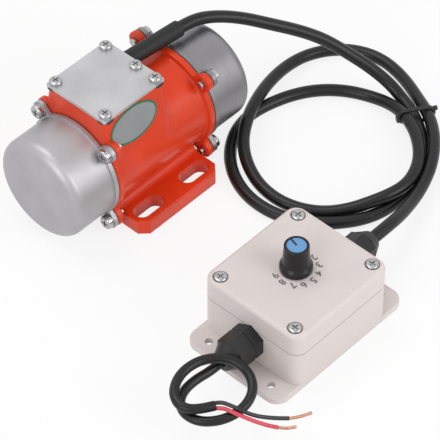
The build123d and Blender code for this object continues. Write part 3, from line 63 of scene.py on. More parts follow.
# Routes of the cords, as control points of their splines. The motor cable leaves the sleeve,
# drops into its coil, goes round about two and a half times and climbs to the right-hand gland.
MOTOR_CABLE_ROUTE = (
    (0.0418, 0.0050, 0.0622), (0.0508, 0.0042, 0.0622), (0.0625, 0.0003, 0.0590),
    (0.0740, -0.0062, 0.0542), (0.0850, -0.0138, 0.0476), (0.0968, -0.0221, 0.0406),
    (0.1057, -0.0289, 0.0339), (0.1115, -0.0346, 0.0279), (0.1158, -0.0404, 0.0227),
    (0.1196, -0.0470, 0.0179), (0.1226, -0.0539, 0.0131), (0.1241, -0.0609, 0.0088),
    (0.1235, -0.0681, 0.0054), (0.1209, -0.0758, 0.0046), (0.1165, -0.0836, 0.0044),
    (0.1113, -0.0913, 0.0037), (0.1052, -0.0981, 0.0031), (0.0978, -0.1035, 0.0031),
    (0.0892, -0.1070, 0.0031), (0.0799, -0.1093, 0.0031), (0.0699, -0.1102, 0.0031),
    (0.0597, -0.1092, 0.0031), (0.0504, -0.1057, 0.0031), (0.0424, -0.1003, 0.0031),
    (0.0354, -0.0937, 0.0031), (0.0299, -0.0864, 0.0031), (0.0262, -0.0785, 0.0031),
    (0.0242, -0.0703, 0.0031), (0.0238, -0.0616, 0.0031), (0.0252, -0.0529, 0.0031),
    (0.0286, -0.0442, 0.0031), (0.0338, -0.0361, 0.0031), (0.0406, -0.0291, 0.0031),
    (0.0484, -0.0238, 0.0032), (0.0565, -0.0205, 0.0032), (0.0645, -0.0192, 0.0032),
    (0.0725, -0.0196, 0.0031), (0.0810, -0.0215, 0.0031), (0.0899, -0.0247, 0.0032),
    (0.0985, -0.0296, 0.0033), (0.1060, -0.0361, 0.0032), (0.1119, -0.0441, 0.0031),
    (0.1158, -0.0532, 0.0032), (0.1172, -0.0630, 0.0046), (0.1155, -0.0729, 0.0068),
    (0.1115, -0.0825, 0.0085), (0.1062, -0.0912, 0.0091), (0.0997, -0.0987, 0.0092),
    (0.0922, -0.1045, 0.0093), (0.0837, -0.1084, 0.0094), (0.0750, -0.1098, 0.0094),
    (0.0664, -0.1081, 0.0092), (0.0580, -0.1039, 0.0076), (0.0498, -0.0982, 0.0051),
    (0.0422, -0.0909, 0.0034), (0.0364, -0.0824, 0.0031), (0.0330, -0.0731, 0.0032),
    (0.0323, -0.0635, 0.0033), (0.0339, -0.0537, 0.0037), (0.0375, -0.0446, 0.0048),
    (0.0422, -0.0370, 0.0065), (0.0481, -0.0309, 0.0083), (0.0556, -0.0259, 0.0096),
    (0.0648, -0.0212, 0.0098), (0.0760, -0.0166, 0.0089), (0.0886, -0.0127, 0.0071),
    (0.1012, -0.0105, 0.0054), (0.1129, -0.0108, 0.0041), (0.1228, -0.0140, 0.0033),
    (0.1307, -0.0197, 0.0031), (0.1360, -0.0269, 0.0031), (0.1391, -0.0351, 0.0032),
    (0.1398, -0.0441, 0.0032), (0.1381, -0.0537, 0.0031), (0.1344, -0.0634, 0.0038),
    (0.1293, -0.0735, 0.0047), (0.1234, -0.0843, 0.0068), (0.1156, -0.0942, 0.0081),
    (0.1067, -0.1024, 0.0083), (0.0978, -0.1083, 0.0079), (0.0900, -0.1120, 0.0072),
    (0.0800, -0.1159, 0.0076), (0.0700, -0.1190, 0.0091), (0.0576, -0.1228, 0.0128),
    (0.0450, -0.1250, 0.0162), (0.0338, -0.1250, 0.0162),
)
SUPPLY_CABLE_ROUTE = (
    (-0.0692, -0.1250, 0.0162), (-0.0760, -0.1250, 0.0162), (-0.0836, -0.1235, 0.0160),
    (-0.0916, -0.1236, 0.0157), (-0.0982, -0.1268, 0.0155), (-0.1016, -0.1332, 0.0156),
    (-0.1006, -0.1408, 0.0159), (-0.0952, -0.1468, 0.0162), (-0.0876, -0.1503, 0.0167),
    (-0.0794, -0.1506, 0.0175), (-0.0722, -0.1476, 0.0185), (-0.0675, -0.1410, 0.0198),
    (-0.0673, -0.1332, 0.0218), (-0.0712, -0.1262, 0.0226), (-0.0783, -0.1213, 0.0228),
    (-0.0866, -0.1197, 0.0226), (-0.0949, -0.1215, 0.0222), (-0.1010, -0.1262, 0.0216),
    (-0.1030, -0.1326, 0.0211), (-0.0992, -0.1384, 0.0205), (-0.0916, -0.1421, 0.0199),
)
BLACK_CORE_ROUTE = (
    (-0.0917, -0.1411, 0.0207), (-0.0890, -0.1432, 0.0212), (-0.0878, -0.1476, 0.0215),
    (-0.0865, -0.1521, 0.0212), (-0.0842, -0.1558, 0.0190), (-0.0807, -0.1586, 0.0164),
    (-0.0766, -0.1614, 0.0142), (-0.0728, -0.1639, 0.0125), (-0.0695, -0.1662, 0.0115),
)
RED_CORE_ROUTE = (
    (-0.0925, -0.1425, 0.0192), (-0.0901, -0.1454, 0.0199), (-0.0893, -0.1501, 0.0204),
    (-0.0878, -0.1540, 0.0196), (-0.0853, -0.1574, 0.0174), (-0.0823, -0.1606, 0.0149),
    (-0.0792, -0.1635, 0.0126), (-0.0765, -0.1661, 0.0113),
)
BLACK_STRANDS_ROUTE = (
    (-0.0695, -0.1662, 0.0115), (-0.0664, -0.1681, 0.0109), (-0.0629, -0.1696, 0.0105),
    (-0.0595, -0.1708, 0.0103),
)
RED_STRANDS_ROUTE = (
    (-0.0765, -0.1661, 0.0113), (-0.0744, -0.1682, 0.0106), (-0.0721, -0.1699, 0.0102),
    (-0.0699, -0.1710, 0.0101),
)

# The tie's plane stands square to the strands where they come closest. It holds each strand
# that passes within its reach, with a small gap round them.
TIE_MIDDLE = Vector((0.1190, -0.0815, 0.0))
TIE_YAW = math.radians(-29.5)
TIE_REACH = 0.014
TIE_GAP = 0.0001
TIE_ROUNDING = 0.00025
# Corners of the strap's section, as shares of its thickness outwards and of its width along the cables
STRAP_SECTION = ((0.0, -0.5), (0.0, 0.5), (1.0, 0.42), (1.0, -0.42))
# The locking head and the cut end: shift from the strap's inner and outer side, and half sizes
# across the cables, up and along them
TIE_HEAD = (Vector((-0.0002, -0.0008)), (0.0011, 0.0015, 0.0015))
TIE_STUB = (Vector((0.0009, 0.0022)), (0.0010, 0.0009, 0.0010))

# Radius of a bare strand as a share of the radius at which round strands would just touch
STRAND_FULLNESS = 1.15

# Side wall of the terminal box that carries the label, as a line in the YZ plane
LABEL_WALL_TOP = Vector((0.0, -0.0185, 0.0670))
LABEL_WALL_FOOT = Vector((0.0, -0.02483, 0.03489))
# The label's section from its foot inwards: share of the rim's width, and height over the wall
LABEL_PROFILE = ((0.0, 0.00002), (0.0, 0.00012), (0.0, 0.00022), (1.0, 0.00024), (1.3, 0.00021))
LABEL_STEPS = 96

DIAL_MARKS = "23456789"
DIGIT_TO_TEXT = 1.38      # text size for a digit of height 1
INK_THICKNESS = 0.00004
INK_BOLDNESS = 0.00008
INK_LIFT = 0.00005

POINTER_HALF_WIDTH = 0.00044
POINTER_TURN = math.radians(75.0)
POINTER_END_GAP = 0.00005
POINTER_SUNK = 0.00038
POINTER_PROUD = 0.00006
POINTER_ROUNDING = 0.00008

# Painted shade along the controller's seam: half width of the dark line, and the share of the enclosure's
# colour that it keeps
SEAM_SHADE_HALF_WIDTH = 0.00022
SEAM_PAINTED_SHADE = 0.50

NOISE_LOW, NOISE_HIGH = 0.3, 0.7      # most of a noise texture's values lie between these
RELIEF_DEPTH = 0.0004
COAT_ROUGHNESS = 0.08
EDGE_SAMPLES = 4
WHITE = (1.0, 1.0, 1.0, 1.0)

CAMERA_TARGET = Vector((0.00617, -0.0546, 0.0))
CAMERA_AZIMUTH = math.radians(-47.14)
CAMERA_ELEVATION = math.radians(46.48)
CAMERA_DISTANCE = 1.3761
CAMERA_LENS = 237.27
SENSOR_WIDTH = 36.0
CLIP_END = 20.0

FLOOR_SIZE = 12.0
FLOOR_DROP = 0.0002
FLOOR_GREY = (0.92, 0.92, 0.92, 1.0)
FLOOR_ROUGHNESS = 0.9
FLOOR_GLOW = 0.82         # share of plain white where the floor is looked at
WORLD_LIGHT = 0.55
LAMP_TARGET = (0.0, -0.04, 0.0)
# Name, place, width and watts
LAMPS = (
    ("top_lamp", (-0.10, 0.55, 1.45), 0.9, 6.0),
    ("front_lamp", (0.35, -1.35, 0.75), 1.0, 8.0),
    ("left_lamp", (-1.35, -0.25, 0.75), 1.0, 6.0),
)


class CableSizes(bpy.types.PropertyGroup):
    """Thickness of the cords and of what holds them."""
    motor_cable: bpy.props.FloatProperty(name="Motor cable", description="Diameter of the motor cable",
                                         default=0.0062, unit="LENGTH")
    supply_cable: bpy.props.FloatProperty(name="Supply cable", description="Diameter of the supply cable",
                                          default=0.0046, unit="LENGTH")
    core: bpy.props.FloatProperty(name="Core", description="Diameter of an insulated core",
                                  default=0.0019, unit="LENGTH")
    bundle: bpy.props.FloatProperty(name="Strands", description="Diameter over a core's bare strands",
                                    default=0.0015, unit="LENGTH")
    strands: bpy.props.IntProperty(name="Strand count", description="Outer strands in a bare end", default=7)
    tie_width: bpy.props.FloatProperty(name="Tie width", description="Width of the cable tie's strap",
                                       default=0.0023, unit="LENGTH")
    tie_thickness: bpy.props.FloatProperty(name="Tie thickness", description="Thickness of the strap",
                                           default=0.0010, unit="LENGTH")


class LabelSizes(bpy.types.PropertyGroup):
    """The oval label on the side of the terminal box."""
    length: bpy.props.FloatProperty(name="Length", description="Length of the oval along the shaft",
                                    default=0.0305, unit="LENGTH")
    height: bpy.props.FloatProperty(name="Height", description="Height of the oval up the wall",
                                    default=0.0188, unit="LENGTH")
    along: bpy.props.FloatProperty(name="Along", description="Place of its middle along the shaft",
                                   default=-0.0155, unit="LENGTH")
    down: bpy.props.FloatProperty(name="Down", description="Middle of the oval below the wall's top",
                                  default=0.0097, unit="LENGTH")
    rim: bpy.props.FloatProperty(name="Rim", description="Width of the coloured rim",
                                 default=0.0009, unit="LENGTH")


class DialSizes(bpy.types.PropertyGroup):
    """The numbers round the knob."""
    radius: bpy.props.FloatProperty(name="Radius", description="Circle on which the numbers stand",
                                    default=0.0105, unit="LENGTH")
    height: bpy.props.FloatProperty(name="Height", description="Height of a number",
                                    default=0.0036, unit="LENGTH")
    first: bpy.props.FloatProperty(name="First", description="Direction of the first number from the X axis",
                                   default=math.radians(-7.0), unit="ROTATION")
    step: bpy.props.FloatProperty(name="Step", description="Turn from one number to the next, clockwise",
                                  default=math.radians(28.0), unit="ROTATION")


class Colours(bpy.types.PropertyGroup):
    """Main colours, as linear values."""
    paint: bpy.props.FloatVectorProperty(name="Casting paint", description="Colour of the painted casting",
                                         default=(0.72, 0.047, 0.009), subtype="COLOR")
    cap: bpy.props.FloatVectorProperty(name="End cap", description="Colour of the left cap's metal",
                                       default=(0.43, 0.42, 0.435), subtype="COLOR")
    plate: bpy.props.FloatVectorProperty(name="Lid plate", description="Colour of the terminal lid",
                                         default=(0.54, 0.535, 0.55), subtype="COLOR")
    enclosure: bpy.props.FloatVectorProperty(name="Enclosure", description="Colour of the controller's box",
                                             default=(0.70, 0.632, 0.615), subtype="COLOR")
    jacket: bpy.props.FloatVectorProperty(name="Jacket", description="Colour of the cables",
                                          default=(0.0075, 0.0077, 0.0078), subtype="COLOR")
    knob_cap: bpy.props.FloatVectorProperty(name="Knob cap", description="Colour of the cap in the knob",
                                            default=(0.13, 0.34, 0.62), subtype="COLOR")
    rim: bpy.props.FloatVectorProperty(name="Label rim", description="Colour of the label's rim",
                                       default=(0.025, 0.16, 0.08), subtype="COLOR")


# Shader groups

def open_group(name, inputs, outputs):
    """A new shader group with its sockets, and its input and output nodes."""
    tree = bpy.data.node_groups.new(name, "ShaderNodeTree")
    for label, kind, default in inputs:
        socket = tree.interface.new_socket(label, in_out="INPUT", socket_type=kind)
        if default is not None:
            socket.default_value = default
    for label, kind in outputs:
        tree.interface.new_socket(label, in_out="OUTPUT", socket_type=kind)
    return tree, tree.nodes.new("NodeGroupInput"), tree.nodes.new("NodeGroupOutput")


def skin_group():
    """Slow drift of colour and fine grain of a surface, both from 0 to 1."""
    tree, given, out = open_group(
        "surface_skin",
        [("Vector", "NodeSocketVector", None), ("Drift Scale", "NodeSocketFloat", 40.0),
         ("Grain Scale", "NodeSocketFloat", 1500.0)],
        [("Drift", "NodeSocketFloat"), ("Grain", "NodeSocketFloat")])
    for label, detail, scale in (("Drift", 3.0, "Drift Scale"), ("Grain", 2.0, "Grain Scale")):
        noise = tree.nodes.new("ShaderNodeTexNoise")
        noise.inputs["Detail"].default_value = detail
        tree.links.new(given.outputs["Vector"], noise.inputs["Vector"])
        tree.links.new(given.outputs[scale], noise.inputs["Scale"])
        tree.links.new(noise.outputs["Fac"], out.inputs[label])
    return tree


def lathe_group():
    """Fine rings round the shaft's line, as a turned or spun piece has."""
    tree, given, out = open_group(
        "lathe_rings",
        [("Vector", "NodeSocketVector", None), ("Ring Scale", "NodeSocketFloat", 900.0),
         ("Axis Height", "NodeSocketFloat", 0.03)],
        [("Rings", "NodeSocketFloat")])
    parts = tree.nodes.new("ShaderNodeSeparateXYZ")
    tree.links.new(given.outputs["Vector"], parts.inputs[0])
    up = tree.nodes.new("ShaderNodeMath")
    up.operation = "SUBTRACT"
    tree.links.new(parts.outputs["Z"], up.inputs[0])
    tree.links.new(given.outputs["Axis Height"], up.inputs[1])
    across = tree.nodes.new("ShaderNodeCombineXYZ")
    tree.links.new(parts.outputs["Y"], across.inputs["X"])
    tree.links.new(up.outputs[0], across.inputs["Y"])
    radius = tree.nodes.new("ShaderNodeVectorMath")
    radius.operation = "LENGTH"
    tree.links.new(across.outputs[0], radius.inputs[0])
    line = tree.nodes.new("ShaderNodeCombineXYZ")
    tree.links.new(parts.outputs["X"], line.inputs["X"])
    tree.links.new(radius.outputs["Value"], line.inputs["Y"])
    noise = tree.nodes.new("ShaderNodeTexNoise")
    noise.inputs["Detail"].default_value = 1.0
    tree.links.new(line.outputs[0], noise.inputs["Vector"])
    tree.links.new(given.outputs["Ring Scale"], noise.inputs["Scale"])
    tree.links.new(noise.outputs["Fac"], out.inputs["Rings"])
    return tree


def new_material(name):
    """A material with nodes, its nodes and its links."""
    material = bpy.data.materials.new(name)
    material.use_nodes = True
    return material, material.node_tree.nodes, material.node_tree.links


def spread(links, nodes, value, low, high):
    """A value from 0 to 1 laid out between low and high."""
    stretch = nodes.new("ShaderNodeMapRange")
    stretch.inputs["From Min"].default_value = NOISE_LOW
    stretch.inputs["From Max"].default_value = NOISE_HIGH
    stretch.inputs["To Min"].default_value = low
    stretch.inputs["To Max"].default_value = high
    links.new(value, stretch.inputs["Value"])
    return stretch.outputs["Result"]


def surface(name, colour, rough, metal=0.0, shade=0.08, grain_scale=1500.0, bump=0.03, drift_scale=40.0,
            rough_play=0.06, coat=0.0, soft_edge=0.0004, rings=0.0, specular=0.5):
    """A finish with drifting colour, grain in its gloss and height, and edges that look rounded."""
    material, nodes, links = new_material(name)
    shader = nodes["Principled BSDF"]
    place = nodes.new("ShaderNodeTexCoord")
    skin = nodes.new("ShaderNodeGroup")
    skin.node_tree = bpy.data.node_groups["surface_skin"]
    skin.inputs["Drift Scale"].default_value = drift_scale
    skin.inputs["Grain Scale"].default_value = grain_scale
    links.new(place.outputs["Object"], skin.inputs["Vector"])
    mix = nodes.new("ShaderNodeMix")
    mix.data_type = "RGBA"
    mix.inputs["A"].default_value = (*[c * (1.0 - shade) for c in colour], 1.0)
    mix.inputs["B"].default_value = (*[min(1.0, c * (1.0 + shade)) for c in colour], 1.0)
    links.new(spread(links, nodes, skin.outputs["Drift"], 0.0, 1.0), mix.inputs["Factor"])
    links.new(mix.outputs["Result"], shader.inputs["Base Color"])
    gloss = skin.outputs["Grain"]
    height = skin.outputs["Grain"]
    if rings:
        lathe = nodes.new("ShaderNodeGroup")
        lathe.node_tree = bpy.data.node_groups["lathe_rings"]
        lathe.inputs["Ring Scale"].default_value = rings
        links.new(place.outputs["Object"], lathe.inputs["Vector"])
        gloss = lathe.outputs["Rings"]
        height = lathe.outputs["Rings"]
    rough_skin = spread(links, nodes, gloss, rough - rough_play, rough + rough_play)
    links.new(rough_skin, shader.inputs["Roughness"])
    relief = nodes.new("ShaderNodeBump")
    relief.inputs["Strength"].default_value = bump
    relief.inputs["Distance"].default_value = RELIEF_DEPTH
    links.new(height, relief.inputs["Height"])
    if soft_edge:
        edge = nodes.new("ShaderNodeBevel")
        edge.samples = EDGE_SAMPLES
        edge.inputs["Radius"].default_value = soft_edge
        links.new(edge.outputs["Normal"], relief.inputs["Normal"])
    links.new(relief.outputs["Normal"], shader.inputs["Normal"])
    shader.inputs["Metallic"].default_value = metal
    shader.inputs["Coat Weight"].default_value = coat
    shader.inputs["Coat Roughness"].default_value = COAT_ROUGHNESS
    shader.inputs["Specular IOR Level"].default_value = specular
    return material


def paint_seam_shade(material, height, half_width, dark):
    """Painted shade: darken a thin level line round a piece where two moulded halves meet, standing in for
    the shade in the seam's small step.
    """
    nodes, links = material.node_tree.nodes, material.node_tree.links
    shader = nodes["Principled BSDF"]
    colour = shader.inputs["Base Color"].links[0].from_socket
    parts = nodes.new("ShaderNodeSeparateXYZ")
    links.new(nodes["Texture Coordinate"].outputs["Object"], parts.inputs[0])
    above, size, inside = [nodes.new("ShaderNodeMath") for _ in range(3)]
    above.operation, size.operation, inside.operation = "SUBTRACT", "ABSOLUTE", "LESS_THAN"
    above.inputs[1].default_value = height
    inside.inputs[1].default_value = half_width
    links.new(parts.outputs["Z"], above.inputs[0])
    links.new(above.outputs[0], size.inputs[0])
    links.new(size.outputs[0], inside.inputs[0])
    mix = nodes.new("ShaderNodeMix")
    mix.data_type = "RGBA"
    mix.inputs["B"].default_value = (*dark, 1.0)
    links.new(inside.outputs[0], mix.inputs["Factor"])
    links.new(colour, mix.inputs["A"])
    links.new(mix.outputs["Result"], shader.inputs["Base Color"])


# Cords

def cord_piece(name, route, diameter, material):
    """A round cord whose line is one smooth NURBS spline with its route as control points."""
    curve = bpy.data.curves.new(name, "CURVE")
    curve.dimensions = "3D"
    line = curve.splines.new("NURBS")
    line.points.add(len(route) - 1)
    for point, place in zip(line.points, route):
        point.co = (*place, 1.0)
    line.order_u = 3
    line.use_endpoint_u = True
    line.resolution_u = 8
    curve.bevel_depth = diameter / 2
    curve.bevel_resolution = 6
    curve.use_fill_caps = True
    curve.materials.append(material)
    piece = bpy.data.objects.new(name, curve)
    bpy.context.scene.collection.objects.link(piece)
    return piece


def spline_points(piece):
    """The points of a cord's spline, read from the curve without its thickness."""
    bare = piece.data.copy()
    bare.bevel_depth = 0.0
    carrier = bpy.data.objects.new("bare_line", bare)
    bpy.context.scene.collection.objects.link(carrier)
    bpy.context.view_layer.update()
    mesh = bpy.data.meshes.new_from_object(carrier.evaluated_get(bpy.context.evaluated_depsgraph_get()))
    points = [v.co.copy() for v in mesh.vertices]
    bpy.data.objects.remove(carrier)
    bpy.data.curves.remove(bare)
    bpy.data.meshes.remove(mesh)
    return points


def line_length(points):
    """Length of a line of short straight steps."""
    return sum((b - a).length for a, b in zip(points, points[1:]))


def mesh_piece(name, verts, faces, material, smooth=True):
    """A mesh object at the origin with its faces turned outwards."""
    mesh = bpy.data.meshes.new(name)
    mesh.from_pydata([tuple(v) for v in verts], [], faces)
    shaped = bmesh.new()
    shaped.from_mesh(mesh)
    bmesh.ops.remove_doubles(shaped, verts=shaped.verts, dist=1e-7)
    bmesh.ops.recalc_face_normals(shaped, faces=shaped.faces)
    shaped.to_mesh(mesh)
    shaped.free()
    for polygon in mesh.polygons:
        polygon.use_smooth = smooth
    mesh.materials.append(material)
    piece = bpy.data.objects.new(name, mesh)
    bpy.context.scene.collection.objects.link(piece)
    return piece


def hull_outline(centres, radius, steps=36):
    """Outline of a band pulled tight round equal circles: the hull of their rims."""
    rims = []
    for centre in centres:
        for n in range(steps):
            turn = 2 * math.pi * n / steps
            rims.append((centre[0] + radius * math.cos(turn), centre[1] + radius * math.sin(turn)))
    rims.sort()

    def half(points):
        chain = []
        for p in points:
            while len(chain) > 1 and ((chain[-1][0] - chain[-2][0]) * (p[1] - chain[-2][1])
                                      - (chain[-1][1] - chain[-2][1]) * (p[0] - chain[-2][0])) <= 0:
                chain.pop()
            chain.append(p)
        return chain[:-1]

    return half(rims) + half(rims[::-1])


def strand_tree():
    """Geometry nodes that lay twisted strands round a path, with one more down its middle."""
    tree = bpy.data.node_groups.new("twisted_strands", "GeometryNodeTree")
    for label, kind, default in (("Geometry", "NodeSocketGeometry", None), ("Strands", "NodeSocketInt", 7),
                                 ("Lay Radius", "NodeSocketFloat", 0.0005),
                                 ("Strand Radius", "NodeSocketFloat", 0.00025),
                                 ("Turn per Metre", "NodeSocketFloat", 700.0),
                                 ("Material", "NodeSocketMaterial", None)):
        socket = tree.interface.new_socket(label, in_out="INPUT", socket_type=kind)
        if default is not None:
            socket.default_value = default
    tree.interface.new_socket("Geometry", in_out="OUTPUT", socket_type="NodeSocketGeometry")
    nodes, links = tree.nodes, tree.links
    given, out = nodes.new("NodeGroupInput"), nodes.new("NodeGroupOutput")
    to_curve = nodes.new("GeometryNodeMeshToCurve")
    copies = nodes.new("GeometryNodeDuplicateElements")
    copies.domain = "SPLINE"
    along = nodes.new("GeometryNodeSplineParameter")
    share = nodes.new("ShaderNodeMath")
    share.operation = "DIVIDE"
    first = nodes.new("ShaderNodeMath")
    first.operation = "MULTIPLY"
    first.inputs[1].default_value = 2 * math.pi
    twist = nodes.new("ShaderNodeMath")
    twist.operation = "MULTIPLY_ADD"
    cosine, sine = nodes.new("ShaderNodeMath"), nodes.new("ShaderNodeMath")
    cosine.operation, sine.operation = "COSINE", "SINE"
    normal, tangent = nodes.new("GeometryNodeInputNormal"), nodes.new("GeometryNodeInputTangent")
    side = nodes.new("ShaderNodeVectorMath")
    side.operation = "CROSS_PRODUCT"
    out_part, side_part, both, offset = [nodes.new("ShaderNodeVectorMath") for _ in range(4)]
    out_part.operation = side_part.operation = offset.operation = "SCALE"
    both.operation = "ADD"
    place = nodes.new("GeometryNodeSetPosition")
    ring = nodes.new("GeometryNodeCurvePrimitiveCircle")
    ring.inputs["Resolution"].default_value = 8
    tube = nodes.new("GeometryNodeCurveToMesh")
    tube.inputs["Fill Caps"].default_value = True
    whole = nodes.new("GeometryNodeRealizeInstances")
    coat = nodes.new("GeometryNodeSetMaterial")
    links.new(given.outputs["Geometry"], to_curve.inputs["Mesh"])
    links.new(to_curve.outputs["Curve"], copies.inputs["Geometry"])
    links.new(given.outputs["Strands"], copies.inputs["Amount"])
    links.new(copies.outputs["Duplicate Index"], share.inputs[0])
    links.new(given.outputs["Strands"], share.inputs[1])
    links.new(share.outputs[0], first.inputs[0])
    links.new(along.outputs["Length"], twist.inputs[0])
    links.new(given.outputs["Turn per Metre"], twist.inputs[1])
    links.new(first.outputs[0], twist.inputs[2])
    links.new(twist.outputs[0], cosine.inputs[0])
    links.new(twist.outputs[0], sine.inputs[0])
    links.new(normal.outputs[0], side.inputs[0])
    links.new(tangent.outputs[0], side.inputs[1])
    links.new(normal.outputs[0], out_part.inputs[0])
    links.new(cosine.outputs[0], out_part.inputs["Scale"])
    links.new(side.outputs[0], side_part.inputs[0])
    links.new(sine.outputs[0], side_part.inputs["Scale"])
    links.new(out_part.outputs[0], both.inputs[0])
    links.new(side_part.outputs[0], both.inputs[1])
    links.new(both.outputs[0], offset.inputs[0])
    links.new(given.outputs["Lay Radius"], offset.inputs["Scale"])
    links.new(copies.outputs["Geometry"], place.inputs["Geometry"])
    links.new(offset.outputs[0], place.inputs["Offset"])
    links.new(given.outputs["Strand Radius"], ring.inputs["Radius"])
    links.new(place.outputs["Geometry"], tube.inputs["Curve"])
    links.new(ring.outputs["Curve"], tube.inputs["Profile Curve"])
    links.new(tube.outputs["Mesh"], whole.inputs["Geometry"])
    links.new(whole.outputs["Geometry"], coat.inputs["Geometry"])
    links.new(given.outputs["Material"], coat.inputs["Material"])
    links.new(coat.outputs["Geometry"], out.inputs["Geometry"])
    return tree


def set_input(modifier, label, value):
    """Set a geometry nodes input by its socket's identifier."""
    for item in modifier.node_group.interface.items_tree:
        if item.item_type == "SOCKET" and item.in_out == "INPUT" and item.name == label:
            modifier[item.identifier] = value


def bare_strands(name, route, sizes, copper):
    """The twisted bare end of a core, laid along the route's spline."""
    guide = cord_piece(name + "_guide", route, sizes.bundle, copper)
    points = spline_points(guide)
    bpy.data.objects.remove(guide)
    path = bpy.data.meshes.new(name)
    path.from_pydata(points, [(n, n + 1) for n in range(len(points) - 1)], [])
    carrier = bpy.data.objects.new(name, path)
    bpy.context.scene.collection.objects.link(carrier)
    modifier = carrier.modifiers.new("strands", "NODES")
    modifier.node_group = bpy.data.node_groups["twisted_strands"]
    strand = STRAND_FULLNESS * sizes.bundle / 2 / (1 + 1 / math.sin(math.pi / sizes.strands))
    set_input(modifier, "Strands", sizes.strands)
    set_input(modifier, "Strand Radius", strand)
    set_input(modifier, "Lay Radius", sizes.bundle / 2 - strand)
    set_input(modifier, "Material", copper)
    bpy.context.view_layer.update()
    mesh = bpy.data.meshes.new_from_object(carrier.evaluated_get(bpy.context.evaluated_depsgraph_get()))
    carrier.modifiers.clear()
    carrier.data = mesh
    bpy.data.meshes.remove(path)
    for polygon in mesh.polygons:
        polygon.use_smooth = True
    return carrier


def tie_band(strands, sizes, material):
    """The strap round the strands, its locking head at the inner side and the cut end outside."""
    across = Vector((math.cos(TIE_YAW), math.sin(TIE_YAW), 0.0))
    along = Vector((-across.y, across.x, 0.0))
    up = Vector((0.0, 0.0, 1.0))
    cuts = []
    for a, b in zip(strands, strands[1:]):
        before, after = (a - TIE_MIDDLE).dot(along), (b - TIE_MIDDLE).dot(along)
        if before * after <= 0 and before != after:
            hit = a.lerp(b, before / (before - after))
            if abs((hit - TIE_MIDDLE).dot(across)) < TIE_REACH:
                cuts.append(((hit - TIE_MIDDLE).dot(across), hit.z))
    outline = hull_outline(cuts, sizes.motor_cable / 2 + TIE_GAP)
    verts, faces = [], []
    count = len(outline)
    middle = Vector((sum(p[0] for p in outline) / count, sum(p[1] for p in outline) / count))
    for n, here in enumerate(outline):
        ahead, behind = Vector(outline[(n + 1) % count]), Vector(outline[n - 1])
        run = (ahead - behind).normalized()
        out = Vector((run.y, -run.x))
        if out.dot(Vector(here) - middle) < 0:
            out = -out
        for lift, reach in STRAP_SECTION:
            flat = Vector(here) + out * lift * sizes.tie_thickness
            verts.append(TIE_MIDDLE + across * flat.x + up * flat.y + along * reach * sizes.tie_width)
    for n in range(count):
        for corner in range(4):
            near, far = n * 4, ((n + 1) % count) * 4
            nxt = (corner + 1) % 4
            faces.append((near + corner, near + nxt, far + nxt, far + corner))
    for side, (shift, (half_across, half_up, half_along)) in ((min(outline), TIE_HEAD),
                                                              (max(outline), TIE_STUB)):
        centre = Vector(side) + shift
        start = len(verts)
        for sx in (-1, 1):
            for sz in (-1, 1):
                for sy in (-1, 1):
                    verts.append(TIE_MIDDLE + across * (centre.x + sx * half_across)
                                 + up * (centre.y + sz * half_up) + along * sy * half_along)
        faces += [tuple(start + i for i in face) for face in
                  ((0, 1, 3, 2), (4, 6, 7, 5), (0, 4, 5, 1), (2, 3, 7, 6), (0, 2, 6, 4), (1, 5, 7, 3))]
    band = mesh_piece("tie_band", verts, faces, material, smooth=False)
    rounding = band.modifiers.new("rounding", "BEVEL")
    rounding.width = TIE_ROUNDING
    rounding.segments = 2
    return band


class MOTOR_OT_lay_cables(bpy.types.Operator):
    """Lay the motor cable with its coil and tie, and the supply cable with its two cores"""
    bl_idname = "motor.lay_cables"
    bl_label = "Lay cables"

    def execute(self, context):
        sizes, colours = context.scene.motor_cables, context.scene.motor_colours
        jacket = surface("cable_jacket", colours.jacket, 0.33, shade=0.25, grain_scale=2600.0, bump=0.06,
                         drift_scale=60.0, rough_play=0.07, soft_edge=0.0, specular=0.34)
        strap = surface("tie_nylon", (0.012, 0.012, 0.0125), 0.38, shade=0.15, bump=0.04, soft_edge=0.0,
                        specular=0.4)
        black = surface("core_black", (0.014, 0.014, 0.0145), 0.36, shade=0.2, bump=0.05, soft_edge=0.0)
        red = surface("core_red", (0.68, 0.060, 0.095), 0.36, shade=0.12, bump=0.05, soft_edge=0.0)
        copper = surface("copper_strand", (0.56, 0.29, 0.20), 0.32, metal=1.0, shade=0.22, drift_scale=500.0,
                         bump=0.05, soft_edge=0.0)
        strand_tree()

        motor_cable = cord_piece("motor_cable", MOTOR_CABLE_ROUTE, sizes.motor_cable, jacket)
        line = spline_points(motor_cable)
        tie = tie_band(line, sizes, strap)
        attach(motor_cable, SHELL)
        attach(tie, SHELL)
        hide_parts("motor_cable_lead", "motor_cable_coil", "motor_cable_tail")
        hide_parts("cable_tie")

        supply = cord_piece("supply_lead", SUPPLY_CABLE_ROUTE, sizes.supply_cable, jacket)
        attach(supply, SHELL)
        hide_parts("supply_cable")
        line_length(spline_points(supply))
        cores = (("black_core", BLACK_CORE_ROUTE, black, "black_wire", BLACK_STRANDS_ROUTE),
                 ("red_core", RED_CORE_ROUTE, red, "red_wire", RED_STRANDS_ROUTE))
        ends = []
        for name, route, material, node, strands_route in cores:
            core = cord_piece(name, route, sizes.core, material)
            strands = bare_strands(name + "_strands", strands_route, sizes, copper)
            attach(core, SHELL)
            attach(strands, SHELL)
            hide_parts(node)
            line_length(spline_points(core))
            ends.append(strands)
        for strands in ends:
            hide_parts("copper_strands")
        return {"FINISHED"}


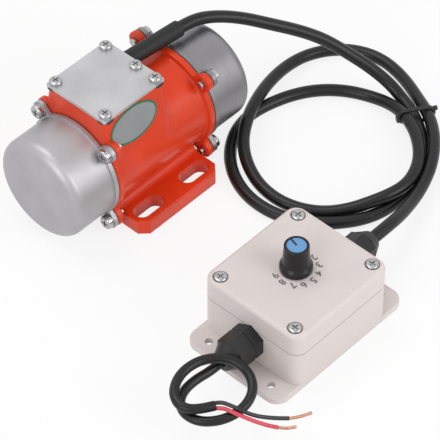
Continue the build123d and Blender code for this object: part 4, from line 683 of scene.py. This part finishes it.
class MOTOR_OT_stick_label(bpy.types.Operator):
    """Stick the bare oval label on the side of the terminal box"""
    bl_idname = "motor.stick_label"
    bl_label = "Stick label"

    def execute(self, context):
        sizes, colours = context.scene.motor_label, context.scene.motor_colours
        silver = surface("label_foil", (0.32, 0.34, 0.345), 0.36, metal=0.35, shade=0.05, drift_scale=70.0,
                         bump=0.02, soft_edge=0.0)
        rim = surface("label_rim", colours.rim, 0.36, shade=0.12, drift_scale=120.0, bump=0.02, soft_edge=0.0)
        down = (LABEL_WALL_FOOT - LABEL_WALL_TOP).normalized()
        out = Vector((0.0, down.z, -down.y))
        middle = LABEL_WALL_TOP + down * sizes.down + Vector((sizes.along, 0.0, 0.0))
        along = Vector((1.0, 0.0, 0.0))
        verts, faces, slots = [], [], []
        for share, lift in LABEL_PROFILE:
            inset = share * sizes.rim
            for n in range(LABEL_STEPS):
                turn = 2 * math.pi * n / LABEL_STEPS
                place = (along * (sizes.length / 2 - inset) * math.cos(turn)
                         - down * (sizes.height / 2 - inset) * math.sin(turn))
                verts.append(middle + place + out * lift)
        last = (len(LABEL_PROFILE) - 1) * LABEL_STEPS
        for ring in range(0, last, LABEL_STEPS):
            for n in range(LABEL_STEPS):
                here, ahead = ring + n, ring + (n + 1) % LABEL_STEPS
                faces.append((here, ahead, ahead + LABEL_STEPS, here + LABEL_STEPS))
                slots.append(1)
        faces += [tuple(range(last, last + LABEL_STEPS)), tuple(reversed(range(LABEL_STEPS)))]
        slots += [0, 1]
        label = mesh_piece("oval_label", verts, faces, silver, smooth=False)
        label.data.materials.append(rim)
        for polygon, slot in zip(label.data.polygons, slots):
            polygon.material_index = slot
        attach(label, SHELL)
        return {"FINISHED"}


class MOTOR_OT_print_dial(bpy.types.Operator):
    """Print the plain numbers round the knob and lay the pointer in its cap"""
    bl_idname = "motor.print_dial"
    bl_label = "Print dial"

    def execute(self, context):
        sizes = context.scene.motor_dial
        ink = surface("dial_ink", (0.15, 0.13, 0.13), 0.55, shade=0.15, drift_scale=300.0, soft_edge=0.0)
        low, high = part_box("knob")
        centre = (low + high) / 2
        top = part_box("controller_lid")[1].z
        for n, mark in enumerate(DIAL_MARKS):
            text = bpy.data.curves.new("mark", "FONT")
            text.body = mark
            text.size = sizes.height * DIGIT_TO_TEXT
            text.align_x = "CENTER"
            text.align_y = "CENTER"
            text.extrude = INK_THICKNESS
            text.offset = INK_BOLDNESS
            carrier = bpy.data.objects.new("mark", text)
            bpy.context.scene.collection.objects.link(carrier)
            bpy.context.view_layer.update()
            mesh = bpy.data.meshes.new_from_object(carrier.evaluated_get(context.evaluated_depsgraph_get()))
            bpy.data.objects.remove(carrier)
            turn = sizes.first - n * sizes.step
            place = Vector((centre.x + sizes.radius * math.cos(turn),
                            centre.y + sizes.radius * math.sin(turn), top + INK_LIFT))
            mesh.transform(Matrix.Translation(place) @ Matrix.Rotation(math.pi, 4, "Z"))
            mesh.materials.clear()
            mesh.materials.append(ink)
            number = bpy.data.objects.new("dial_" + mark, mesh)
            bpy.context.scene.collection.objects.link(number)
            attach(number, SHELL)
        cap_low, cap_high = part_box("knob_cap")
        reach = (cap_high.x - cap_low.x) / 2
        tip, half = reach - POINTER_END_GAP, POINTER_HALF_WIDTH
        outline = ((0.0, -half), (tip, -half), (tip, half), (0.0, half))
        turn = Matrix.Rotation(POINTER_TURN, 3, "Z")
        verts = [turn @ Vector((x, y, 0.0)) + Vector((centre.x, centre.y, z))
                 for z in (cap_high.z - POINTER_SUNK, cap_high.z + POINTER_PROUD) for x, y in outline]
        faces = [(0, 3, 2, 1), (4, 5, 6, 7)] + [(n, (n + 1) % 4, (n + 1) % 4 + 4, n + 4) for n in range(4)]
        black = surface("pointer_black", (0.018, 0.018, 0.02), 0.35, shade=0.15, soft_edge=0.0)
        pointer = mesh_piece("knob_pointer", verts, faces, black, smooth=False)
        rounding = pointer.modifiers.new("rounding", "BEVEL")
        rounding.width = POINTER_ROUNDING
        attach(pointer, KNOB)
        return {"FINISHED"}


def dress(material, *names):
    """Give CAD nodes a finish through their material slots."""
    for name in names:
        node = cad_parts[name]
        if not node.material_slots:
            node.data.materials.append(material)
        for slot in node.material_slots:
            slot.material = material


class MOTOR_OT_finish_motor(bpy.types.Operator):
    """Paint the casting and finish the motor's caps, lid, screws and everything inside"""
    bl_idname = "motor.finish_motor"
    bl_label = "Finish motor"

    def execute(self, context):
        colours = context.scene.motor_colours
        dress(surface("casting_paint", colours.paint, 0.31, shade=0.08, drift_scale=45.0, grain_scale=520.0,
                      bump=0.018, coat=0.06, rough_play=0.04, soft_edge=0.0007, specular=0.32),
              "motor_housing")
        dress(surface("cast_cap_metal", colours.cap, 0.46, metal=0.72, shade=0.08, grain_scale=3800.0,
                      bump=0.10, drift_scale=55.0, soft_edge=0.0005), "left_end_cap")
        # The right cap takes the left cap's colour darkened to 0.60: partly its own darker satin, partly
        # painted shade where this cap gets less light
        dress(surface("drawn_cap_metal_and_shade", [c * 0.60 for c in colours.cap], 0.42, metal=0.85, shade=0.10,
                      rings=700.0, bump=0.03, drift_scale=50.0, soft_edge=0.0004), "right_end_cap")
        # The lid plate's strong, broad colour drift is partly its own smudgy tone and partly painted
        # reflection: mottled grey reflections laid into its colour
        dress(surface("lid_plate_metal", colours.plate, 0.33, metal=0.50, shade=0.14, grain_scale=2600.0,
                      bump=0.02, drift_scale=38.0, soft_edge=0.0002), "terminal_lid")
        dress(surface("plated_screw", (0.46, 0.455, 0.46), 0.18, metal=1.0, shade=0.10, drift_scale=400.0,
                      bump=0.03, soft_edge=0.0003),
              "terminal_lid_screws", "cap_screws", "cap_washers", "controller_lid_screws", "board_screws",
              "potentiometer_nut", "weight_clamp_bolts")
        dress(surface("gasket_rubber", (0.035, 0.035, 0.036), 0.6, shade=0.15, bump=0.08, soft_edge=0.0),
              "terminal_lid_gasket", "cap_gaskets", "controller_seal", "gland_seals")
        dress(surface("shrunk_sleeve", (0.012, 0.0125, 0.013), 0.52, shade=0.12, grain_scale=1800.0,
                      bump=0.10, drift_scale=80.0, soft_edge=0.0005, specular=0.32), "cable_sleeve")
        dress(surface("shield_aluminium", (0.52, 0.52, 0.53), 0.35, metal=0.9, shade=0.06, rings=1100.0,
                      bump=0.05),
              "left_bearing_shield", "right_bearing_shield")
        dress(surface("bearing_steel", (0.55, 0.56, 0.57), 0.16, metal=1.0, shade=0.04, rings=1500.0,
                      bump=0.02),
              "bearing_outer_rings", "bearing_inner_rings", "left_bearing_balls", "right_bearing_balls",
              "rotor_shaft")
        dress(surface("cage_nylon", (0.10, 0.13, 0.10), 0.45, shade=0.08, bump=0.04),
              "left_bearing_cage", "right_bearing_cage")
        dress(surface("weight_steel", (0.30, 0.29, 0.28), 0.42, metal=0.9, shade=0.12, grain_scale=1200.0,
                      bump=0.08),
              "left_inner_weight", "left_outer_weight", "right_inner_weight", "right_outer_weight")
        dress(surface("core_sheets", (0.28, 0.28, 0.29), 0.45, metal=0.8, shade=0.10, rings=2600.0,
                      bump=0.20),
              "stator_core", "rotor_core")
        dress(surface("winding_enamel", (0.45, 0.14, 0.05), 0.30, metal=0.6, shade=0.14, rings=2000.0,
                      bump=0.25),
              "stator_windings")
        dress(surface("magnet_ferrite", (0.06, 0.06, 0.065), 0.40, metal=0.2, shade=0.10, bump=0.05),
              "rotor_magnets")
        dress(surface("terminal_plastic", (0.60, 0.58, 0.52), 0.45, shade=0.05, bump=0.05), "terminal_block")
        dress(surface("phase_wire_jacket", (0.05, 0.14, 0.40), 0.40, shade=0.10, bump=0.04), "phase_wires")
        return {"FINISHED"}


class MOTOR_OT_finish_controller(bpy.types.Operator):
    """Finish the controller's enclosure, knob, glands and board"""
    bl_idname = "motor.finish_controller"
    bl_label = "Finish controller"

    def execute(self, context):
        colours = context.scene.motor_colours
        plastic = surface("enclosure_plastic", colours.enclosure, 0.48, shade=0.025, grain_scale=2400.0,
                          bump=0.07, drift_scale=30.0, soft_edge=0.0006)
        # Painted shade along the seam between base and lid, darker than the plastic's own colour
        paint_seam_shade(plastic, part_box("controller_base")[1].z, SEAM_SHADE_HALF_WIDTH,
                     [c * SEAM_PAINTED_SHADE for c in colours.enclosure])
        dress(plastic, "controller_base", "controller_lid")
        dress(surface("knob_plastic", (0.010, 0.0103, 0.0106), 0.22, shade=0.15, grain_scale=1600.0,
                      bump=0.015, soft_edge=0.0004, specular=0.30), "knob")
        dress(surface("knob_cap_plastic", colours.knob_cap, 0.38, shade=0.05, bump=0.03, soft_edge=0.0002),
              "knob_cap")
        dress(surface("gland_nylon", (0.011, 0.0115, 0.012), 0.40, shade=0.18, grain_scale=2000.0, bump=0.07,
                      drift_scale=120.0, soft_edge=0.0005, specular=0.38),
              "input_gland_body", "input_gland_nut", "output_gland_body", "output_gland_nut",
              "gland_locknuts")
        dress(surface("board_laminate", (0.03, 0.17, 0.07), 0.35, shade=0.12, drift_scale=250.0, bump=0.04),
              "circuit_board")
        dress(surface("capacitor_sleeve", (0.05, 0.06, 0.16), 0.35, shade=0.10, bump=0.04), "capacitors")
        dress(surface("transistor_case", (0.03, 0.03, 0.032), 0.5, shade=0.10, bump=0.06),
              "power_transistors")
        dress(surface("terminal_green", (0.05, 0.28, 0.12), 0.40, shade=0.08, bump=0.04), "board_terminals")
        dress(surface("potentiometer_case", (0.35, 0.35, 0.36), 0.35, metal=0.8, shade=0.08, bump=0.05),
              "potentiometer_body")
        dress(surface("potentiometer_spindle", (0.55, 0.55, 0.56), 0.28, metal=1.0, shade=0.06, bump=0.04),
              "potentiometer_shaft")
        return {"FINISHED"}


def soft_lamp(name, place, size, watts):
    """A round area lamp that looks at the part."""
    lamp = bpy.data.lights.new(name, "AREA")
    lamp.shape = "DISK"
    lamp.size = size
    lamp.energy = watts
    holder = bpy.data.objects.new(name, lamp)
    holder.location = place
    holder.rotation_euler = (Vector(LAMP_TARGET) - Vector(place)).to_track_quat("-Z", "Y").to_euler()
    bpy.context.scene.collection.objects.link(holder)


def seen_plainly(nodes, links):
    """1 where the camera, a reflection or glass looks at the background, 0 where it only lights."""
    light = nodes.new("ShaderNodeLightPath")
    total = light.outputs["Is Camera Ray"]
    for other in ("Is Glossy Ray", "Is Transmission Ray"):
        either = nodes.new("ShaderNodeMath")
        either.operation = "MAXIMUM"
        links.new(total, either.inputs[0])
        links.new(light.outputs[other], either.inputs[1])
        total = either.outputs[0]
    return total


class MOTOR_OT_set_stage(bpy.types.Operator):
    """Set the camera, the pale floor and the lamps"""
    bl_idname = "motor.set_stage"
    bl_label = "Set stage"

    def execute(self, context):
        scene = context.scene
        camera = bpy.data.cameras.new("photo_camera")
        camera.sensor_width = SENSOR_WIDTH
        camera.lens = CAMERA_LENS
        camera.clip_end = CLIP_END
        holder = bpy.data.objects.new("photo_camera", camera)
        away = Vector((math.sin(CAMERA_AZIMUTH) * math.cos(CAMERA_ELEVATION),
                       -math.cos(CAMERA_AZIMUTH) * math.cos(CAMERA_ELEVATION), math.sin(CAMERA_ELEVATION)))
        holder.location = CAMERA_TARGET + CAMERA_DISTANCE * away
        holder.rotation_euler = (CAMERA_TARGET - holder.location).to_track_quat("-Z", "Y").to_euler()
        scene.collection.objects.link(holder)
        scene.camera = holder

        floor_finish, nodes, links = new_material("studio_floor")
        shader = nodes["Principled BSDF"]
        shader.inputs["Base Color"].default_value = FLOOR_GREY
        shader.inputs["Roughness"].default_value = FLOOR_ROUGHNESS
        glow = nodes.new("ShaderNodeEmission")
        glow.inputs["Color"].default_value = WHITE
        lift = nodes.new("ShaderNodeMath")
        lift.operation = "MULTIPLY"
        lift.inputs[1].default_value = FLOOR_GLOW
        blend = nodes.new("ShaderNodeMixShader")
        links.new(seen_plainly(nodes, links), lift.inputs[0])
        links.new(lift.outputs[0], blend.inputs[0])
        links.new(shader.outputs[0], blend.inputs[1])
        links.new(glow.outputs[0], blend.inputs[2])
        links.new(blend.outputs[0], nodes["Material Output"].inputs["Surface"])
        bpy.ops.mesh.primitive_plane_add(size=FLOOR_SIZE, location=(0.0, 0.0, -FLOOR_DROP))
        floor = context.active_object
        floor.name = "studio_floor"
        floor.data.materials.append(floor_finish)

        world = bpy.data.worlds.new("studio")
        world.use_nodes = True
        scene.world = world
        nodes, links = world.node_tree.nodes, world.node_tree.links
        dim = nodes["Background"]
        dim.inputs["Color"].default_value = WHITE
        dim.inputs["Strength"].default_value = WORLD_LIGHT
        plain = nodes.new("ShaderNodeBackground")
        plain.inputs["Color"].default_value = WHITE
        plain.inputs["Strength"].default_value = 1.0
        blend = nodes.new("ShaderNodeMixShader")
        links.new(seen_plainly(nodes, links), blend.inputs[0])
        links.new(dim.outputs[0], blend.inputs[1])
        links.new(plain.outputs[0], blend.inputs[2])
        links.new(blend.outputs[0], nodes["World Output"].inputs["Surface"])
        for name, place, size, watts in LAMPS:
            soft_lamp(name, place, size, watts)
        scene.view_settings.view_transform = "Standard"
        return {"FINISHED"}


class MOTOR_PT_looks(bpy.types.Panel):
    """The pieces of the motor's looks, in the order in which they are made"""
    bl_idname = "MOTOR_PT_looks"
    bl_label = "Vibration motor"
    bl_space_type = "VIEW_3D"
    bl_region_type = "UI"
    bl_category = "Vibration motor"

    def draw(self, context):
        for settings in (context.scene.motor_cables, context.scene.motor_label, context.scene.motor_dial,
                         context.scene.motor_colours):
            box = self.layout.box()
            for name in settings.bl_rna.properties.keys():
                if name not in ("rna_type", "name"):
                    box.prop(settings, name)
        for step in STEPS:
            self.layout.operator(step.bl_idname)


STEPS = (MOTOR_OT_set_stage, MOTOR_OT_lay_cables, MOTOR_OT_stick_label, MOTOR_OT_print_dial,
         MOTOR_OT_finish_motor, MOTOR_OT_finish_controller)
SETTINGS = (("motor_cables", CableSizes), ("motor_label", LabelSizes), ("motor_dial", DialSizes),
            ("motor_colours", Colours))


def register():
    for _, group in SETTINGS:
        bpy.utils.register_class(group)
    for step in STEPS:
        bpy.utils.register_class(step)
    bpy.utils.register_class(MOTOR_PT_looks)
    for name, group in SETTINGS:
        setattr(bpy.types.Scene, name, bpy.props.PointerProperty(type=group))


def unregister():
    for name, _ in SETTINGS:
        delattr(bpy.types.Scene, name)
    bpy.utils.unregister_class(MOTOR_PT_looks)
    for step in reversed(STEPS):
        bpy.utils.unregister_class(step)
    for _, group in reversed(SETTINGS):
        bpy.utils.unregister_class(group)


def main():
    """Make the groups and run every step in order."""
    register()
    skin_group()
    lathe_group()
    bpy.ops.motor.set_stage()
    bpy.ops.motor.lay_cables()
    bpy.ops.motor.stick_label()
    bpy.ops.motor.print_dial()
    bpy.ops.motor.finish_motor()
    bpy.ops.motor.finish_controller()


if __name__ == "__main__":
    main()
